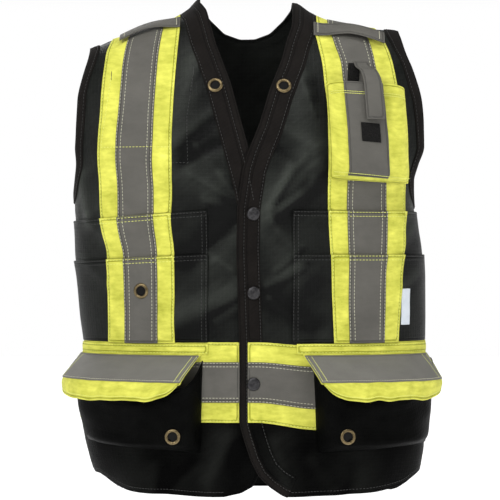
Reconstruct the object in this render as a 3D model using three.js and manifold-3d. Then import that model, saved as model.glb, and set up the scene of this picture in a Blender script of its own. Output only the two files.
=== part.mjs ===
// Utility work vest, worn form, in millimetres, up is +Z, the front faces -Y.
// Wearer's right is -X. The origin lies where the vest sits on the shoulders.
import * as THREE from 'three';
import ManifoldModule from 'manifold-3d';

const wasm = await ManifoldModule();
wasm.setup();
const { Manifold, CrossSection } = wasm;

// Overall sizes
const VEST_HEIGHT = 642;
const HALF_WIDTH = 236;
const FRONT_DEPTH = 122;
const BACK_DEPTH = 112;
const REST_HEIGHT = 613;
const SHOULDER_ROUND = 62;
const SQUARENESS = 2.3;

// Cloth, trim and clearances
const CLOTH = 1.2;
const TRIM = 1.0;
const GAP = 0.3;
const SEAM = 0.3;
const FACET = 0.18;

// Reflective trim
const TAPE_WIDTH = 50.8;
const LIME_WIDTH = 101.6;
const BAND_MIDDLE = 145.4;

// Neck, closure and armholes
const NECK_BAND = 30;
const PLACKET = 28;
const PLACKET_EDGE = 10;
const ARM_BINDING = 9;
const ARM_TILT = 25;
const BACK_NECK_DROP = 46;

// Patch pockets
const UPPER_POCKET = 168;
const MIDDLE_POCKET = 112;
const POCKET_INSET = 54;

// Radio pocket and its strap
const RADIO_HEIGHT = 118;
const RADIO_WIDTH = 98;
const RADIO_DEPTH = 15;
const STRAP_WIDTH = 23;
const STRAP_LENGTH = 78;
const PATCH_SIZE = 22;

// Lower pouches and their flaps
const POUCH_WIDTH = 146;
const POUCH_HEIGHT = 124;
const POUCH_DEPTH = 34;
const POUCH_WALL = 1.5;
const FLAP_ROOM = 4;
const WELT_HEIGHT = 13;
const WELT_DROP = 2.2;
const FLAP_TAPE = 44;
const FLAP_BORDER = 25;
const FLAP_REACH = 40;
const FLAP_CLOTH = 1.4;

// Shoulder straps
const SHOULDER_STRAP_WIDTH = 20;
const SHOULDER_STRAP_LIFT = 3;

// Hardware
const SNAP_DIAMETER = 17;
const SNAP_RISE = 3.2;
const EYELET_OUTER = 20;
const EYELET_INNER = 12.4;
const EYELET_RISE = 1.6;
const SEAT = 0.7;
const LABEL_WIDTH = 11;
const LABEL_HEIGHT = 46;

// Form sections: shares of the height, the half width and the two depths
const SECTIONS = [
  { rise: -0.012, right: 0.780, left: 0.895, front: 0.915, back: 0.93 },
  { rise: 0.020, right: 0.830, left: 0.928, front: 0.920, back: 0.925 },
  { rise: 0.045, right: 0.872, left: 0.947, front: 0.925, back: 0.92 },
  { rise: 0.089, right: 0.905, left: 0.964, front: 0.932, back: 0.91 },
  { rise: 0.154, right: 0.938, left: 0.970, front: 0.936, back: 0.90 },
  { rise: 0.182, right: 0.940, left: 0.970, front: 0.934, back: 0.89 },
  { rise: 0.296, right: 0.915, left: 0.962, front: 0.918, back: 0.86 },
  { rise: 0.358, right: 0.934, left: 0.964, front: 0.925, back: 0.87 },
  { rise: 0.430, right: 0.950, left: 0.962, front: 0.938, back: 0.90 },
  { rise: 0.489, right: 0.966, left: 0.948, front: 0.951, back: 0.93 },
  { rise: 0.545, right: 0.968, left: 0.922, front: 0.975, back: 0.96 },
  { rise: 0.590, right: 0.972, left: 0.904, front: 0.990, back: 0.98 },
  { rise: 0.630, right: 0.984, left: 0.920, front: 1.000, back: 0.99 },
  { rise: 0.663, right: 1.004, left: 0.966, front: 1.000, back: 1.00 },
  { rise: 0.700, right: 1.028, left: 1.020, front: 0.975, back: 1.00 },
  { rise: 0.785, right: 1.040, left: 1.048, front: 0.860, back: 0.94 },
  { rise: 0.857, right: 1.035, left: 1.030, front: 0.690, back: 0.80 },
  { rise: 0.902, right: 1.045, left: 1.025, front: 0.580, back: 0.68 },
  { rise: 1.000, right: 1.045, left: 1.020, front: 0.500, back: 0.60 },
];

// Shoulder line: rise of the ridge by share across the half width
const RIDGE = [
  { across: 0.00, right: 1.006, left: 1.000 },
  { across: 0.25, right: 1.006, left: 0.992 },
  { across: 0.32, right: 0.982, left: 0.975 },
  { across: 0.43, right: 0.956, left: 0.956 },
  { across: 0.60, right: 0.934, left: 0.945 },
  { across: 0.70, right: 0.921, left: 0.940 },
  { across: 0.80, right: 0.907, left: 0.936 },
  { across: 0.86, right: 0.897, left: 0.918 },
  { across: 1.00, right: 0.858, left: 0.868 },
];

// Soft folds: ends as shares of the half width and the height, then width and height share of cloth
const FOLDS = [
  { x0: -0.20, r0: 0.60, x1: -0.55, r1: 0.66, spread: 20, lift: 2.6 },
  { x0: 0.10, r0: 0.57, x1: 0.36, r1: 0.66, spread: 20, lift: 2.4 },
  { x0: -0.08, r0: 0.55, x1: -0.30, r1: 0.47, spread: 18, lift: -2.2 },
  { x0: 0.08, r0: 0.54, x1: 0.28, r1: 0.44, spread: 18, lift: 2.2 },
  { x0: -0.06, r0: 0.40, x1: -0.40, r1: 0.35, spread: 18, lift: 2.4 },
  { x0: 0.06, r0: 0.39, x1: 0.34, r1: 0.33, spread: 18, lift: -2.2 },
  { x0: -0.92, r0: 0.62, x1: -0.70, r1: 0.52, spread: 22, lift: 3.0 },
  { x0: 0.92, r0: 0.62, x1: 0.78, r1: 0.50, spread: 22, lift: 3.0 },
  { x0: -0.30, r0: 0.85, x1: -0.42, r1: 0.70, spread: 24, lift: 2.2 },
  { x0: 0.26, r0: 0.82, x1: 0.34, r1: 0.70, spread: 22, lift: 2.0 },
  { x0: -0.14, r0: 0.11, x1: -0.18, r1: 0.01, spread: 20, lift: 3.2 },
  { x0: 0.20, r0: 0.10, x1: 0.24, r1: 0.01, spread: 20, lift: 3.0 },
  { x0: -0.60, r0: 0.08, x1: -0.58, r1: 0.00, spread: 26, lift: 3.0 },
  { x0: 0.62, r0: 0.08, x1: 0.66, r1: 0.00, spread: 26, lift: 3.2 },
];

// Stripe paths: middle as a share of the half width, and the share of each width that faces forward
const STRIPES = {
  right: [
    { rise: 0.933, middle: 0.566, tape: 0.82, lime: 0.85 },
    { rise: 0.884, middle: 0.592, tape: 0.87, lime: 0.91 },
    { rise: 0.790, middle: 0.611, tape: 0.88, lime: 0.92 },
    { rise: 0.685, middle: 0.624, tape: 0.94, lime: 0.95 },
    { rise: 0.613, middle: 0.614, tape: 0.90, lime: 0.91 },
    { rise: 0.559, middle: 0.612, tape: 0.87, lime: 0.865 },
    { rise: 0.482, middle: 0.595, tape: 0.82, lime: 0.83 },
    { rise: 0.304, middle: 0.590, tape: 0.81, lime: 0.83 },
  ],
  left: [
    { rise: 0.941, middle: 0.520, tape: 0.86, lime: 0.81 },
    { rise: 0.905, middle: 0.558, tape: 0.90, lime: 0.87 },
    { rise: 0.862, middle: 0.588, tape: 0.85, lime: 0.90 },
    { rise: 0.822, middle: 0.603, tape: 0.89, lime: 0.92 },
    { rise: 0.764, middle: 0.624, tape: 0.91, lime: 0.95 },
    { rise: 0.671, middle: 0.632, tape: 0.98, lime: 0.98 },
    { rise: 0.575, middle: 0.626, tape: 0.98, lime: 0.96 },
    { rise: 0.489, middle: 0.627, tape: 0.92, lime: 0.91 },
    { rise: 0.390, middle: 0.627, tape: 0.90, lime: 0.86 },
    { rise: 0.302, middle: 0.627, tape: 0.88, lime: 0.81 },
  ],
};

// Neck and closure edges: shares of the half width and the height
const NECK_RIGHT = [
  { x: -0.285, rise: 1.100 },
  { x: -0.282, rise: 0.993 },
  { x: -0.242, rise: 0.973 },
  { x: -0.191, rise: 0.904 },
  { x: -0.108, rise: 0.821 },
  { x: -0.005, rise: 0.681 },
  { x: 0.040, rise: 0.620 },
  { x: 0.065, rise: 0.570 },
  { x: 0.065, rise: 0.084 },
  { x: 0.048, rise: 0.044 },
  { x: 0.016, rise: 0.020 },
  { x: -0.048, rise: 0.007 },
  { x: -0.140, rise: 0.000 },
];
const NECK_LEFT = [
  { x: 0.238, rise: 1.100 },
  { x: 0.237, rise: 0.984 },
  { x: 0.236, rise: 0.944 },
  { x: 0.205, rise: 0.910 },
  { x: 0.174, rise: 0.866 },
  { x: 0.108, rise: 0.804 },
  { x: 0.054, rise: 0.738 },
  { x: 0.000, rise: 0.689 },
  { x: -0.032, rise: 0.653 },
  { x: -0.065, rise: 0.574 },
  { x: -0.070, rise: 0.489 },
  { x: -0.054, rise: 0.307 },
  { x: -0.054, rise: 0.147 },
  { x: -0.032, rise: 0.117 },
  { x: 0.005, rise: 0.074 },
  { x: 0.048, rise: 0.042 },
  { x: 0.108, rise: 0.020 },
  { x: 0.172, rise: 0.004 },
  { x: 0.200, rise: 0.000 },
];
const NECK_BACK = [
  { x: -0.285, drop: -1.00 },
  { x: -0.282, drop: 0.10 },
  { x: -0.230, drop: 0.45 },
  { x: -0.150, drop: 0.82 },
  { x: -0.060, drop: 0.98 },
  { x: 0.030, drop: 0.98 },
  { x: 0.115, drop: 0.82 },
  { x: 0.190, drop: 0.48 },
  { x: 0.236, drop: 0.20 },
  { x: 0.238, drop: -1.00 },
];

// Armholes: top and bottom rise at their place across, and the reach to the front and back
const ARMHOLES = {
  right: { topX: 0.908, topRise: 0.903, lowX: 0.972, lowRise: 0.600, front: 0.45, back: 0.53 },
  left: { topX: 0.835, topRise: 0.938, lowX: 0.904, lowRise: 0.588, front: 0.45, back: 0.53 },
};

// Pocket tops: rise above the band's top edge at the inner edge and at the side, as shares
const POCKET_TOPS = {
  right: { inner: 1.00, side: 0.90 },
  left: { inner: 1.00, side: 0.985 },
};

const px = (share) => share * HALF_WIDTH;
const pz = (rise) => rise * VEST_HEIGHT - REST_HEIGHT;
const riseOf = (z) => (z + REST_HEIGHT) / VEST_HEIGHT;
const rad = (degrees) => degrees * Math.PI / 180;

function lookUp(table, key, value, column) {
  const ordered = table[0][key] < table[table.length - 1][key] ? table : [...table].reverse();
  if (value <= ordered[0][key]) {
    return ordered[0][column];
  }
  for (let i = 1; i < ordered.length; i++) {
    if (value <= ordered[i][key]) {
      const a = ordered[i - 1];
      const b = ordered[i];
      const share = (value - a[key]) / (b[key] - a[key]);
      return a[column] + (b[column] - a[column]) * share;
    }
  }
  return ordered[ordered.length - 1][column];
}

const sideName = (x) => (x < 0 ? 'right' : 'left');
const halfWidthAt = (x, z) => px(lookUp(SECTIONS, 'rise', riseOf(z), sideName(x)));
const ridgeAt = (share, name) => pz(lookUp(RIDGE, 'across', share, name));

function closing(below) {
  if (below >= SHOULDER_ROUND) {
    return 1;
  }
  const share = 1 - Math.max(0, below) / SHOULDER_ROUND;
  return Math.sqrt(Math.max(0, 1 - share * share));
}

// A point of the bare form at an angle around and a height; face is -1 in front, 1 behind
function formPoint(face, angle, z) {
  const sine = Math.sin(angle);
  const across = Math.abs(sine) ** (2 / SQUARENESS);
  const name = sideName(sine);
  const half = px(lookUp(SECTIONS, 'rise', riseOf(z), name));
  const column = face < 0 ? 'front' : 'back';
  const size = face < 0 ? FRONT_DEPTH : BACK_DEPTH;
  const depth = size * lookUp(SECTIONS, 'rise', riseOf(z), column);
  const round = Math.max(0, Math.cos(angle)) ** (2 / SQUARENESS);
  const y = face * depth * round * closing(ridgeAt(across, name) - z);
  return new THREE.Vector3(Math.sign(sine) * half * across, y, z);
}

function angleAt(x, z) {
  const share = Math.min(1, Math.abs(x) / halfWidthAt(x, z));
  return Math.sign(x) * Math.asin(Math.min(1, share ** (SQUARENESS / 2)));
}

function foldLift(x, z) {
  let lift = 0;
  for (const fold of FOLDS) {
    const ax = px(fold.x0);
    const az = pz(fold.r0);
    const dx = px(fold.x1) - ax;
    const dz = pz(fold.r1) - az;
    const length = dx * dx + dz * dz;
    const along = ((x - ax) * dx + (z - az) * dz) / length;
    const near = Math.min(1, Math.max(0, along));
    const far = Math.hypot(x - ax - dx * near, z - az - dz * near) / fold.spread;
    lift += fold.lift * Math.exp(-far * far);
  }
  return lift;
}

function normalFrom(point, nextAcross, nextUp, face) {
  const a = nextAcross.clone().sub(point);
  const b = nextUp.clone().sub(point);
  const normal = a.cross(b);
  if (normal.lengthSq() < 1e-18) {
    normal.set(0, face, 0);
  }
  normal.normalize();
  return normal;
}

// A closed cloth solid from a grid of outer and inner points
function solidFromGrid(outer, inner) {
  const rows = outer.length;
  const cols = outer[0].length;
  const verts = [];
  for (const grid of [outer, inner]) {
    for (const row of grid) {
      for (const point of row) {
        verts.push(point.x, point.y, point.z);
      }
    }
  }
  const half = rows * cols;
  const at = (layer, i, j) => layer * half + i * cols + j;
  const tris = [];
  const quad = (a, b, c, d) => tris.push(a, b, c, a, c, d);
  for (let i = 0; i < rows - 1; i++) {
    for (let j = 0; j < cols - 1; j++) {
      quad(at(0, i, j), at(0, i, j + 1), at(0, i + 1, j + 1), at(0, i + 1, j));
      tris.push(at(1, i, j), at(1, i + 1, j + 1), at(1, i, j + 1));
      tris.push(at(1, i, j), at(1, i + 1, j), at(1, i + 1, j + 1));
    }
  }
  for (let j = 0; j < cols - 1; j++) {
    quad(at(0, 0, j), at(1, 0, j), at(1, 0, j + 1), at(0, 0, j + 1));
    quad(at(0, rows - 1, j + 1), at(1, rows - 1, j + 1), at(1, rows - 1, j), at(0, rows - 1, j));
  }
  for (let i = 0; i < rows - 1; i++) {
    quad(at(0, i + 1, 0), at(1, i + 1, 0), at(1, i, 0), at(0, i, 0));
    quad(at(0, i, cols - 1), at(1, i, cols - 1), at(1, i + 1, cols - 1), at(0, i + 1, cols - 1));
  }
  const make = (order) => new Manifold(new wasm.Mesh({
    numProp: 3,
    vertProperties: new Float32Array(verts),
    triVerts: new Uint32Array(order),
  }));
  const solid = make(tris);
  if (solid.volume() > 0) {
    return solid;
  }
  const flipped = [];
  for (let k = 0; k < tris.length; k += 3) {
    flipped.push(tris[k], tris[k + 2], tris[k + 1]);
  }
  return make(flipped);
}

const FRONT_COLUMNS = 20;
const BACK_COLUMNS = 11;
const LOW_ROWS = 7;
const MIDDLE_ROWS = 3;
const RIDGE_ROWS = 4;
const LOW_TOP = 0.66;
const BACK_HEM = 0.012;

function rowHeights(across, name) {
  const heights = [];
  for (let i = 0; i < LOW_ROWS; i++) {
    heights.push(pz(-BACK_HEM) + (pz(LOW_TOP) - pz(-BACK_HEM)) * i / (LOW_ROWS - 1));
  }
  const ridge = ridgeAt(across, name);
  const low = pz(LOW_TOP);
  const start = ridge - SHOULDER_ROUND;
  for (let i = 1; i <= MIDDLE_ROWS; i++) {
    heights.push(low + (start - low) * i / MIDDLE_ROWS);
  }
  for (let i = 1; i <= RIDGE_ROWS; i++) {
    const turn = Math.PI / 2 * i / RIDGE_ROWS;
    heights.push(start + SHOULDER_ROUND * Math.sin(turn));
  }
  return heights;
}

// Grid of points and normals over the front or the back half of the form
function formGrid(face) {
  const columns = face < 0 ? FRONT_COLUMNS : BACK_COLUMNS;
  const grid = [];
  for (let j = 0; j <= columns; j++) {
    const angle = Math.PI * (j / columns - 0.5);
    const across = Math.min(1, Math.abs(Math.sin(angle)) ** (2 / SQUARENESS));
    const heights = rowHeights(across, sideName(Math.sin(angle)));
    heights.forEach((z, i) => {
      const point = formPoint(face, angle, z);
      if (j === 0 || j === columns || i === heights.length - 1) {
        point.y = 0;
      }
      grid[i] = grid[i] || [];
      grid[i][j] = point;
    });
  }
  const rows = grid.length;
  const normals = [];
  for (let i = 0; i < rows; i++) {
    normals[i] = [];
    for (let j = 0; j <= columns; j++) {
      const a = grid[i][Math.min(columns, j + 1)].clone().sub(grid[i][Math.max(0, j - 1)]);
      const b = grid[Math.min(rows - 1, i + 1)][j].clone().sub(grid[Math.max(0, i - 1)][j]);
      const normal = a.cross(b).multiplyScalar(-face);
      if (i === rows - 1 || j === 0 || j === columns) {
        normal.y = 0;
        if (j === 0 || j === columns) {
          normal.set(j === 0 ? -1 : 1, 0, i === rows - 1 ? 0.6 : 0);
        }
      }
      normals[i][j] = normal.normalize();
    }
  }
  return { grid, normals };
}

const FRONT_GRID = formGrid(-1);
const BACK_GRID = formGrid(1);

const smooth = (value) => {
  const t = Math.min(1, Math.max(0, value));
  return t * t * (3 - 2 * t);
};
const LAP = CLOTH + GAP;
const lapAt = (x) => LAP * (1 - smooth((x - 24) / 44));

// The form's grid lifted outward by a distance
function liftedGrid(face, distance, lapped) {
  const { grid, normals } = face < 0 ? FRONT_GRID : BACK_GRID;
  return grid.map((row, i) => row.map((point, j) => {
    const fold = face < 0 ? foldLift(point.x, point.z) * Math.abs(normals[i][j].y) : 0;
    const lap = lapped ? lapAt(point.x) : 0;
    return point.clone().addScaledVector(normals[i][j], distance + fold + lap);
  }));
}

// A whole layer of cloth over one half of the form
function shell(face, low, thick, lapped) {
  return solidFromGrid(liftedGrid(face, low + thick, lapped), liftedGrid(face, low, lapped));
}

// The spot on a lifted front layer seen at a place across and a height, with its direction
function spotOnLayer(x, z, distance, lapped) {
  const grid = liftedGrid(-1, distance, lapped);
  for (let i = 0; i < grid.length - 1; i++) {
    for (let j = 0; j < grid[0].length - 1; j++) {
      const corners = [grid[i][j], grid[i][j + 1], grid[i + 1][j + 1], grid[i + 1][j]];
      for (const [a, b, c] of [[0, 1, 2], [0, 2, 3]].map((t) => t.map((k) => corners[k]))) {
        const area = (b.x - a.x) * (c.z - a.z) - (c.x - a.x) * (b.z - a.z);
        const u = ((x - a.x) * (c.z - a.z) - (c.x - a.x) * (z - a.z)) / area;
        const v = ((b.x - a.x) * (z - a.z) - (x - a.x) * (b.z - a.z)) / area;
        if (u >= 0 && v >= 0 && u + v <= 1) {
          const normal = b.clone().sub(a).cross(c.clone().sub(a)).normalize();
          if (normal.y > 0) {
            normal.negate();
          }
          const y = a.y + u * (b.y - a.y) + v * (c.y - a.y);
          return { point: new THREE.Vector3(x, y, z), normal };
        }
      }
    }
  }
  throw new Error('no cloth at that spot');
}

// What every raised piece keeps clear of: the cloth up to a layer, with its gap
const clearing = (face, layer, lapped) => shell(face, -4, layerTop(layer) + GAP + 4, lapped);
const layerLow = (layer) => (layer === 0 ? 0 : CLOTH + GAP + (layer - 1) * (TRIM + GAP));
const layerThick = (layer) => (layer === 0 ? CLOTH : TRIM);
const layerTop = (layer) => layerLow(layer) + layerThick(layer);
const shells = {};
function layerShell(face, layer, lapped = false) {
  const name = `${face} ${layer} ${lapped}`;
  if (!shells[name]) {
    shells[name] = shell(face, layerLow(layer), layerThick(layer), lapped);
  }
  return shells[name];
}

// A cutter with a front outline, through the front half or the back half
function cutter(face, points) {
  const section = new CrossSection([points], 'EvenOdd');
  const block = Manifold.extrude(section, 500).rotate([90, 0, 0]);
  return face < 0 ? block.translate([0, -SEAM / 2, 0]) : block.translate([0, 500 + SEAM / 2, 0]);
}

const FAR = 420;
const edge = (table, shift = 0) => table.map((row) => [px(row.x) + shift, pz(row.rise)]);
const BAND_TOP = BAND_MIDDLE - REST_HEIGHT + LIME_WIDTH / 2;
const BAND_LOW = BAND_MIDDLE - REST_HEIGHT - LIME_WIDTH / 2;

// Armhole cutters follow an egg seen along a tilted line through each arm
function armCutter(name, grow) {
  const hole = ARMHOLES[name];
  const side = name === 'right' ? -1 : 1;
  const tilt = rad(ARM_TILT);
  const rise = (share, height) => -px(share) * Math.sin(tilt) + pz(height) * Math.cos(tilt);
  const top = rise(hole.topX, hole.topRise) + grow;
  const low = rise(hole.lowX, hole.lowRise) - grow;
  const middle = (top + low) / 2;
  const points = [];
  const steps = 18;
  for (let i = 0; i < steps; i++) {
    const turn = 2 * Math.PI * i / steps;
    const sine = Math.sin(turn);
    const reach = sine < 0 ? hole.front * FRONT_DEPTH + grow : hole.back * BACK_DEPTH + grow;
    const swell = 1 - 0.10 * Math.cos(turn);
    const y = Math.sign(sine) * reach * Math.abs(sine) ** 0.85 * swell;
    points.push([side * y, middle + (top - low) / 2 * Math.cos(turn)]);
  }
  const block = Manifold.extrude(new CrossSection([points], 'EvenOdd'), 400).translate([0, 0, 40]);
  const across = [0, side, 0];
  const up = [-side * Math.sin(tilt), 0, Math.cos(tilt)];
  const out = [side * Math.cos(tilt), 0, Math.sin(tilt)];
  return block.transform([...across, 0, ...up, 0, ...out, 0, 0, 0, 0, 1]);
}

const ARM_CUTS = { right: armCutter('right', 0), left: armCutter('left', 0) };
const cutArms = (solid) => solid.subtract(ARM_CUTS.right).subtract(ARM_CUTS.left);

const group = new THREE.Group();
group.name = 'work_vest';

const PAINTS = {
  black: { colour: 0x14171a, roughness: 0.9, metalness: 0 },
  binding: { colour: 0x1b1b1a, roughness: 0.95, metalness: 0 },
  lime: { colour: 0xd8e83a, roughness: 0.75, metalness: 0 },
  silver: { colour: 0x8d8a86, roughness: 0.45, metalness: 0.1 },
  brass: { colour: 0x8a6a3c, roughness: 0.4, metalness: 0.9 },
  gunmetal: { colour: 0x2b2a2c, roughness: 0.45, metalness: 0.8 },
  grey: { colour: 0xc4c8cb, roughness: 0.8, metalness: 0 },
};

function add(name, solid, paint) {
  const mesh = solid.getMesh();
  const geometry = new THREE.BufferGeometry();
  const count = mesh.vertProperties.length / mesh.numProp;
  const positions = new Float32Array(count * 3);
  for (let i = 0; i < count; i++) {
    for (let k = 0; k < 3; k++) {
      positions[i * 3 + k] = mesh.vertProperties[i * mesh.numProp + k];
    }
  }
  geometry.setAttribute('position', new THREE.BufferAttribute(positions, 3));
  geometry.setIndex(new THREE.BufferAttribute(new Uint32Array(mesh.triVerts), 1));
  const look = PAINTS[paint];
  const material = new THREE.MeshStandardMaterial({
    color: look.colour,
    roughness: look.roughness,
    metalness: look.metalness,
  });
  const node = new THREE.Mesh(geometry, material);
  node.name = name;
  group.add(node);
}

// Largest connected body of a cut, so that no sliver stays behind
function whole(solid) {
  const bodies = solid.decompose();
  bodies.sort((a, b) => b.volume() - a.volume());
  return bodies[0].simplify(FACET);
}

const hem = pz(0);
const over = pz(1.2);

// Panels
const rightPanelOutline = [[-FAR, over], ...edge(NECK_RIGHT), [-FAR, hem]];
const leftPanelOutline = [[FAR, over], ...edge(NECK_LEFT), [FAR, hem]];
const neckBack = (grow) => NECK_BACK.map((row) => [
  px(row.x) + Math.sign(row.x) * grow,
  pz(1) - row.drop * BACK_NECK_DROP - (row.drop > 0 ? grow : 0),
]);
const rightCut = cutter(-1, rightPanelOutline);
const leftCut = cutter(-1, leftPanelOutline);
const low = pz(-1);
const backOutline = [[-FAR, low], [FAR, low], [FAR, over], [-FAR, over]];
const backCut = cutter(1, backOutline).subtract(cutter(1, neckBack(0)));
add('back_panel', whole(cutArms(layerShell(1, 0)).intersect(backCut)), 'black');
add('front_panel_right', whole(cutArms(layerShell(-1, 0)).intersect(rightCut)), 'black');
add('front_panel_left', whole(cutArms(layerShell(-1, 0, true)).intersect(leftCut)), 'black');

// Neck bands and the closure's placket
const rightNeckRows = NECK_RIGHT.filter((row) => row.rise > 0.56);
const rightBand = cutter(-1, [
  ...edge(rightNeckRows),
  ...edge(rightNeckRows, -NECK_BAND).reverse(),
]);
const leftBandInner = NECK_LEFT.map((row) => [
  px(row.x) + (row.rise > 0.69 ? NECK_BAND : PLACKET),
  pz(row.rise),
]);
leftBandInner.reverse();
const leftBand = cutter(-1, [...edge(NECK_LEFT), ...leftBandInner]);
const bandRoom = {
  right: cutter(-1, [...edge(rightNeckRows), ...edge(rightNeckRows, -NECK_BAND - GAP).reverse()]),
  left: cutter(-1, [...edge(NECK_LEFT), ...leftBandInner.map(([x, z]) => [x + GAP, z])]),
};
const lapEdge = px(-0.054) + PLACKET_EDGE;
const bandWindow = (grow, face = -1, from = -FAR, to = FAR) => cutter(face, [
  [from, BAND_LOW - grow],
  [to, BAND_LOW - grow],
  [to, BAND_TOP + grow],
  [from, BAND_TOP + grow],
]);
const placketWindow = bandWindow(GAP, -1, lapEdge - GAP, FAR);
add('neck_band_right', whole(layerShell(-1, 1).intersect(rightBand)
  .subtract(cutter(-1, leftPanelOutline.map(([x, z]) => [x - (x < 100 ? GAP : 0), z])))), 'binding');
add('neck_band_left', whole(layerShell(-1, 1, true).intersect(leftBand).subtract(placketWindow)), 'binding');
const backBand = cutter(1, neckBack(PLACKET_EDGE)).subtract(cutter(1, neckBack(0)));
add('neck_band_back', whole(layerShell(1, 1).intersect(backBand)), 'binding');

// Armhole bindings
for (const name of ['right', 'left']) {
  const ring = armCutter(name, ARM_BINDING).subtract(ARM_CUTS[name]);
  const frontHalf = layerShell(-1, 1).intersect(ring).intersect(cutter(-1, backOutline));
  const backHalf = layerShell(1, 1).intersect(ring).intersect(cutter(1, backOutline));
  add(`armhole_binding_${name}_front`, whole(frontHalf), 'binding');
  add(`armhole_binding_${name}_back`, whole(backHalf), 'binding');
}
const bindingRoom = {
  right: armCutter('right', ARM_BINDING + GAP),
  left: armCutter('left', ARM_BINDING + GAP),
};

// Vertical reflective stripes
function stripeOutline(name, column, low, high) {
  const side = name === 'right' ? -1 : 1;
  const width = column === 'tape' ? TAPE_WIDTH : LIME_WIDTH;
  const rows = STRIPES[name];
  const last = rows[rows.length - 1];
  const all = [{ ...rows[0], rise: 1.2 }, ...rows, { ...last, rise: 0 }];
  const at = (rise, way) => {
    const middle = px(lookUp(all, 'rise', rise, 'middle'));
    const half = width / 2 * lookUp(all, 'rise', rise, column);
    return [side * (middle + way * half), pz(rise)];
  };
  const rises = [high, ...all.map((row) => row.rise).filter((r) => r < high && r > low), low];
  return [...rises.map((r) => at(r, 1)), ...rises.reverse().map((r) => at(r, -1))];
}

const bandTopRise = riseOf(BAND_TOP);
function pocketOutline(name, height, grow, inner = POCKET_INSET) {
  const side = name === 'right' ? -1 : 1;
  const top = POCKET_TOPS[name];
  const base = BAND_TOP + GAP;
  return [
    [side * (inner - grow), base],
    [side * (inner - grow), base + height * top.inner + grow],
    [side * FAR, base + height * (top.inner + (top.side - top.inner) * 1.6) + grow],
    [side * FAR, base],
  ];
}

for (const name of ['right', 'left']) {
  const lapped = name === 'left';
  const upper = (grow) => cutter(-1, pocketOutline(name, UPPER_POCKET, grow));
  const middle = (grow) => cutter(-1, pocketOutline(name, MIDDLE_POCKET, grow));
  const lime = cutter(-1, stripeOutline(name, 'lime', bandTopRise, 1.15));
  const tape = cutter(-1, stripeOutline(name, 'tape', bandTopRise, 1.15));
  const aboveBand = bandWindow(GAP);
  const chest = (layer, stripe) => whole(layerShell(-1, layer, lapped).intersect(stripe)
    .subtract(upper(GAP)).subtract(bindingRoom[name]).subtract(bandRoom[name]));
  add(`chest_lime_${name}`, chest(1, lime), 'lime');
  add(`chest_tape_${name}`, chest(2, tape), 'silver');
  const backLime = cutter(1, stripeOutline(name, 'lime', bandTopRise + GAP / VEST_HEIGHT, 1.15));
  const backTape = cutter(1, stripeOutline(name, 'tape', bandTopRise + GAP / VEST_HEIGHT, 1.15));
  const behind = (layer, stripe) => whole(layerShell(1, layer).intersect(stripe)
    .subtract(bindingRoom[name]));
  add(`back_lime_${name}`, behind(1, backLime), 'lime');
  add(`back_tape_${name}`, behind(2, backTape), 'silver');

  const upperBody = layerShell(-1, 1, lapped).intersect(upper(0)).subtract(bindingRoom[name]);
  add(`upper_pocket_${name}`, whole(upperBody), 'black');
  const upperTrim = (layer, stripe) => whole(layerShell(-1, layer, lapped).intersect(stripe)
    .intersect(upper(0)).subtract(middle(GAP)).subtract(aboveBand));
  add(`upper_pocket_lime_${name}`, upperTrim(2, lime), 'lime');
  add(`upper_pocket_tape_${name}`, upperTrim(3, tape), 'silver');
  add(`middle_pocket_${name}`, whole(layerShell(-1, 2, lapped).intersect(middle(0))), 'black');
  const middleTrim = (layer, stripe) => whole(layerShell(-1, layer, lapped).intersect(stripe)
    .intersect(middle(0)).subtract(aboveBand));
  add(`middle_pocket_lime_${name}`, middleTrim(3, lime), 'lime');
  add(`middle_pocket_tape_${name}`, middleTrim(4, tape), 'silver');
}

// Waist band
const tapeWindow = (face, from, to) => cutter(face, [
  [from, BAND_MIDDLE - REST_HEIGHT - TAPE_WIDTH / 2],
  [to, BAND_MIDDLE - REST_HEIGHT - TAPE_WIDTH / 2],
  [to, BAND_MIDDLE - REST_HEIGHT + TAPE_WIDTH / 2],
  [from, BAND_MIDDLE - REST_HEIGHT + TAPE_WIDTH / 2],
]);
const lapRoom = px(-0.054) - GAP;
add('band_lime_right', whole(layerShell(-1, 1).intersect(bandWindow(0, -1, -FAR, lapRoom))), 'lime');
add('band_tape_right', whole(layerShell(-1, 2).intersect(tapeWindow(-1, -FAR, lapRoom))), 'silver');
add('band_lime_left', whole(layerShell(-1, 1, true).intersect(bandWindow(0, -1, lapEdge, FAR))), 'lime');
add('band_tape_left', whole(layerShell(-1, 2, true).intersect(tapeWindow(-1, lapEdge, FAR))), 'silver');
add('band_lime_back', whole(layerShell(1, 1).intersect(bandWindow(0, 1))), 'lime');
add('band_tape_back', whole(layerShell(1, 2).intersect(tapeWindow(1, -FAR, FAR))), 'silver');

// A point above the front at a place across and a height, with its outward direction
function skin(x, z, lapped = false, face = -1) {
  const angle = angleAt(x, z);
  const point = formPoint(face, angle, z);
  const step = rad(1.5);
  const low = Math.max(-Math.PI / 2, angle - step);
  const high = Math.min(Math.PI / 2, angle + step);
  const a = formPoint(face, high, z).sub(formPoint(face, low, z));
  const b = formPoint(face, angle, z + 3).sub(formPoint(face, angle, z - 3));
  const normal = a.cross(b).multiplyScalar(-face).normalize();
  const fold = face < 0 ? foldLift(point.x, point.z) * Math.abs(normal.y) : 0;
  const base = point.addScaledVector(normal, fold + (lapped ? lapAt(x) : 0));
  return { point: base, normal };
}

const lifted = (x, z, height, lapped) => {
  const { point, normal } = skin(x, z, lapped);
  return point.addScaledVector(normal, height);
};

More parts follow.
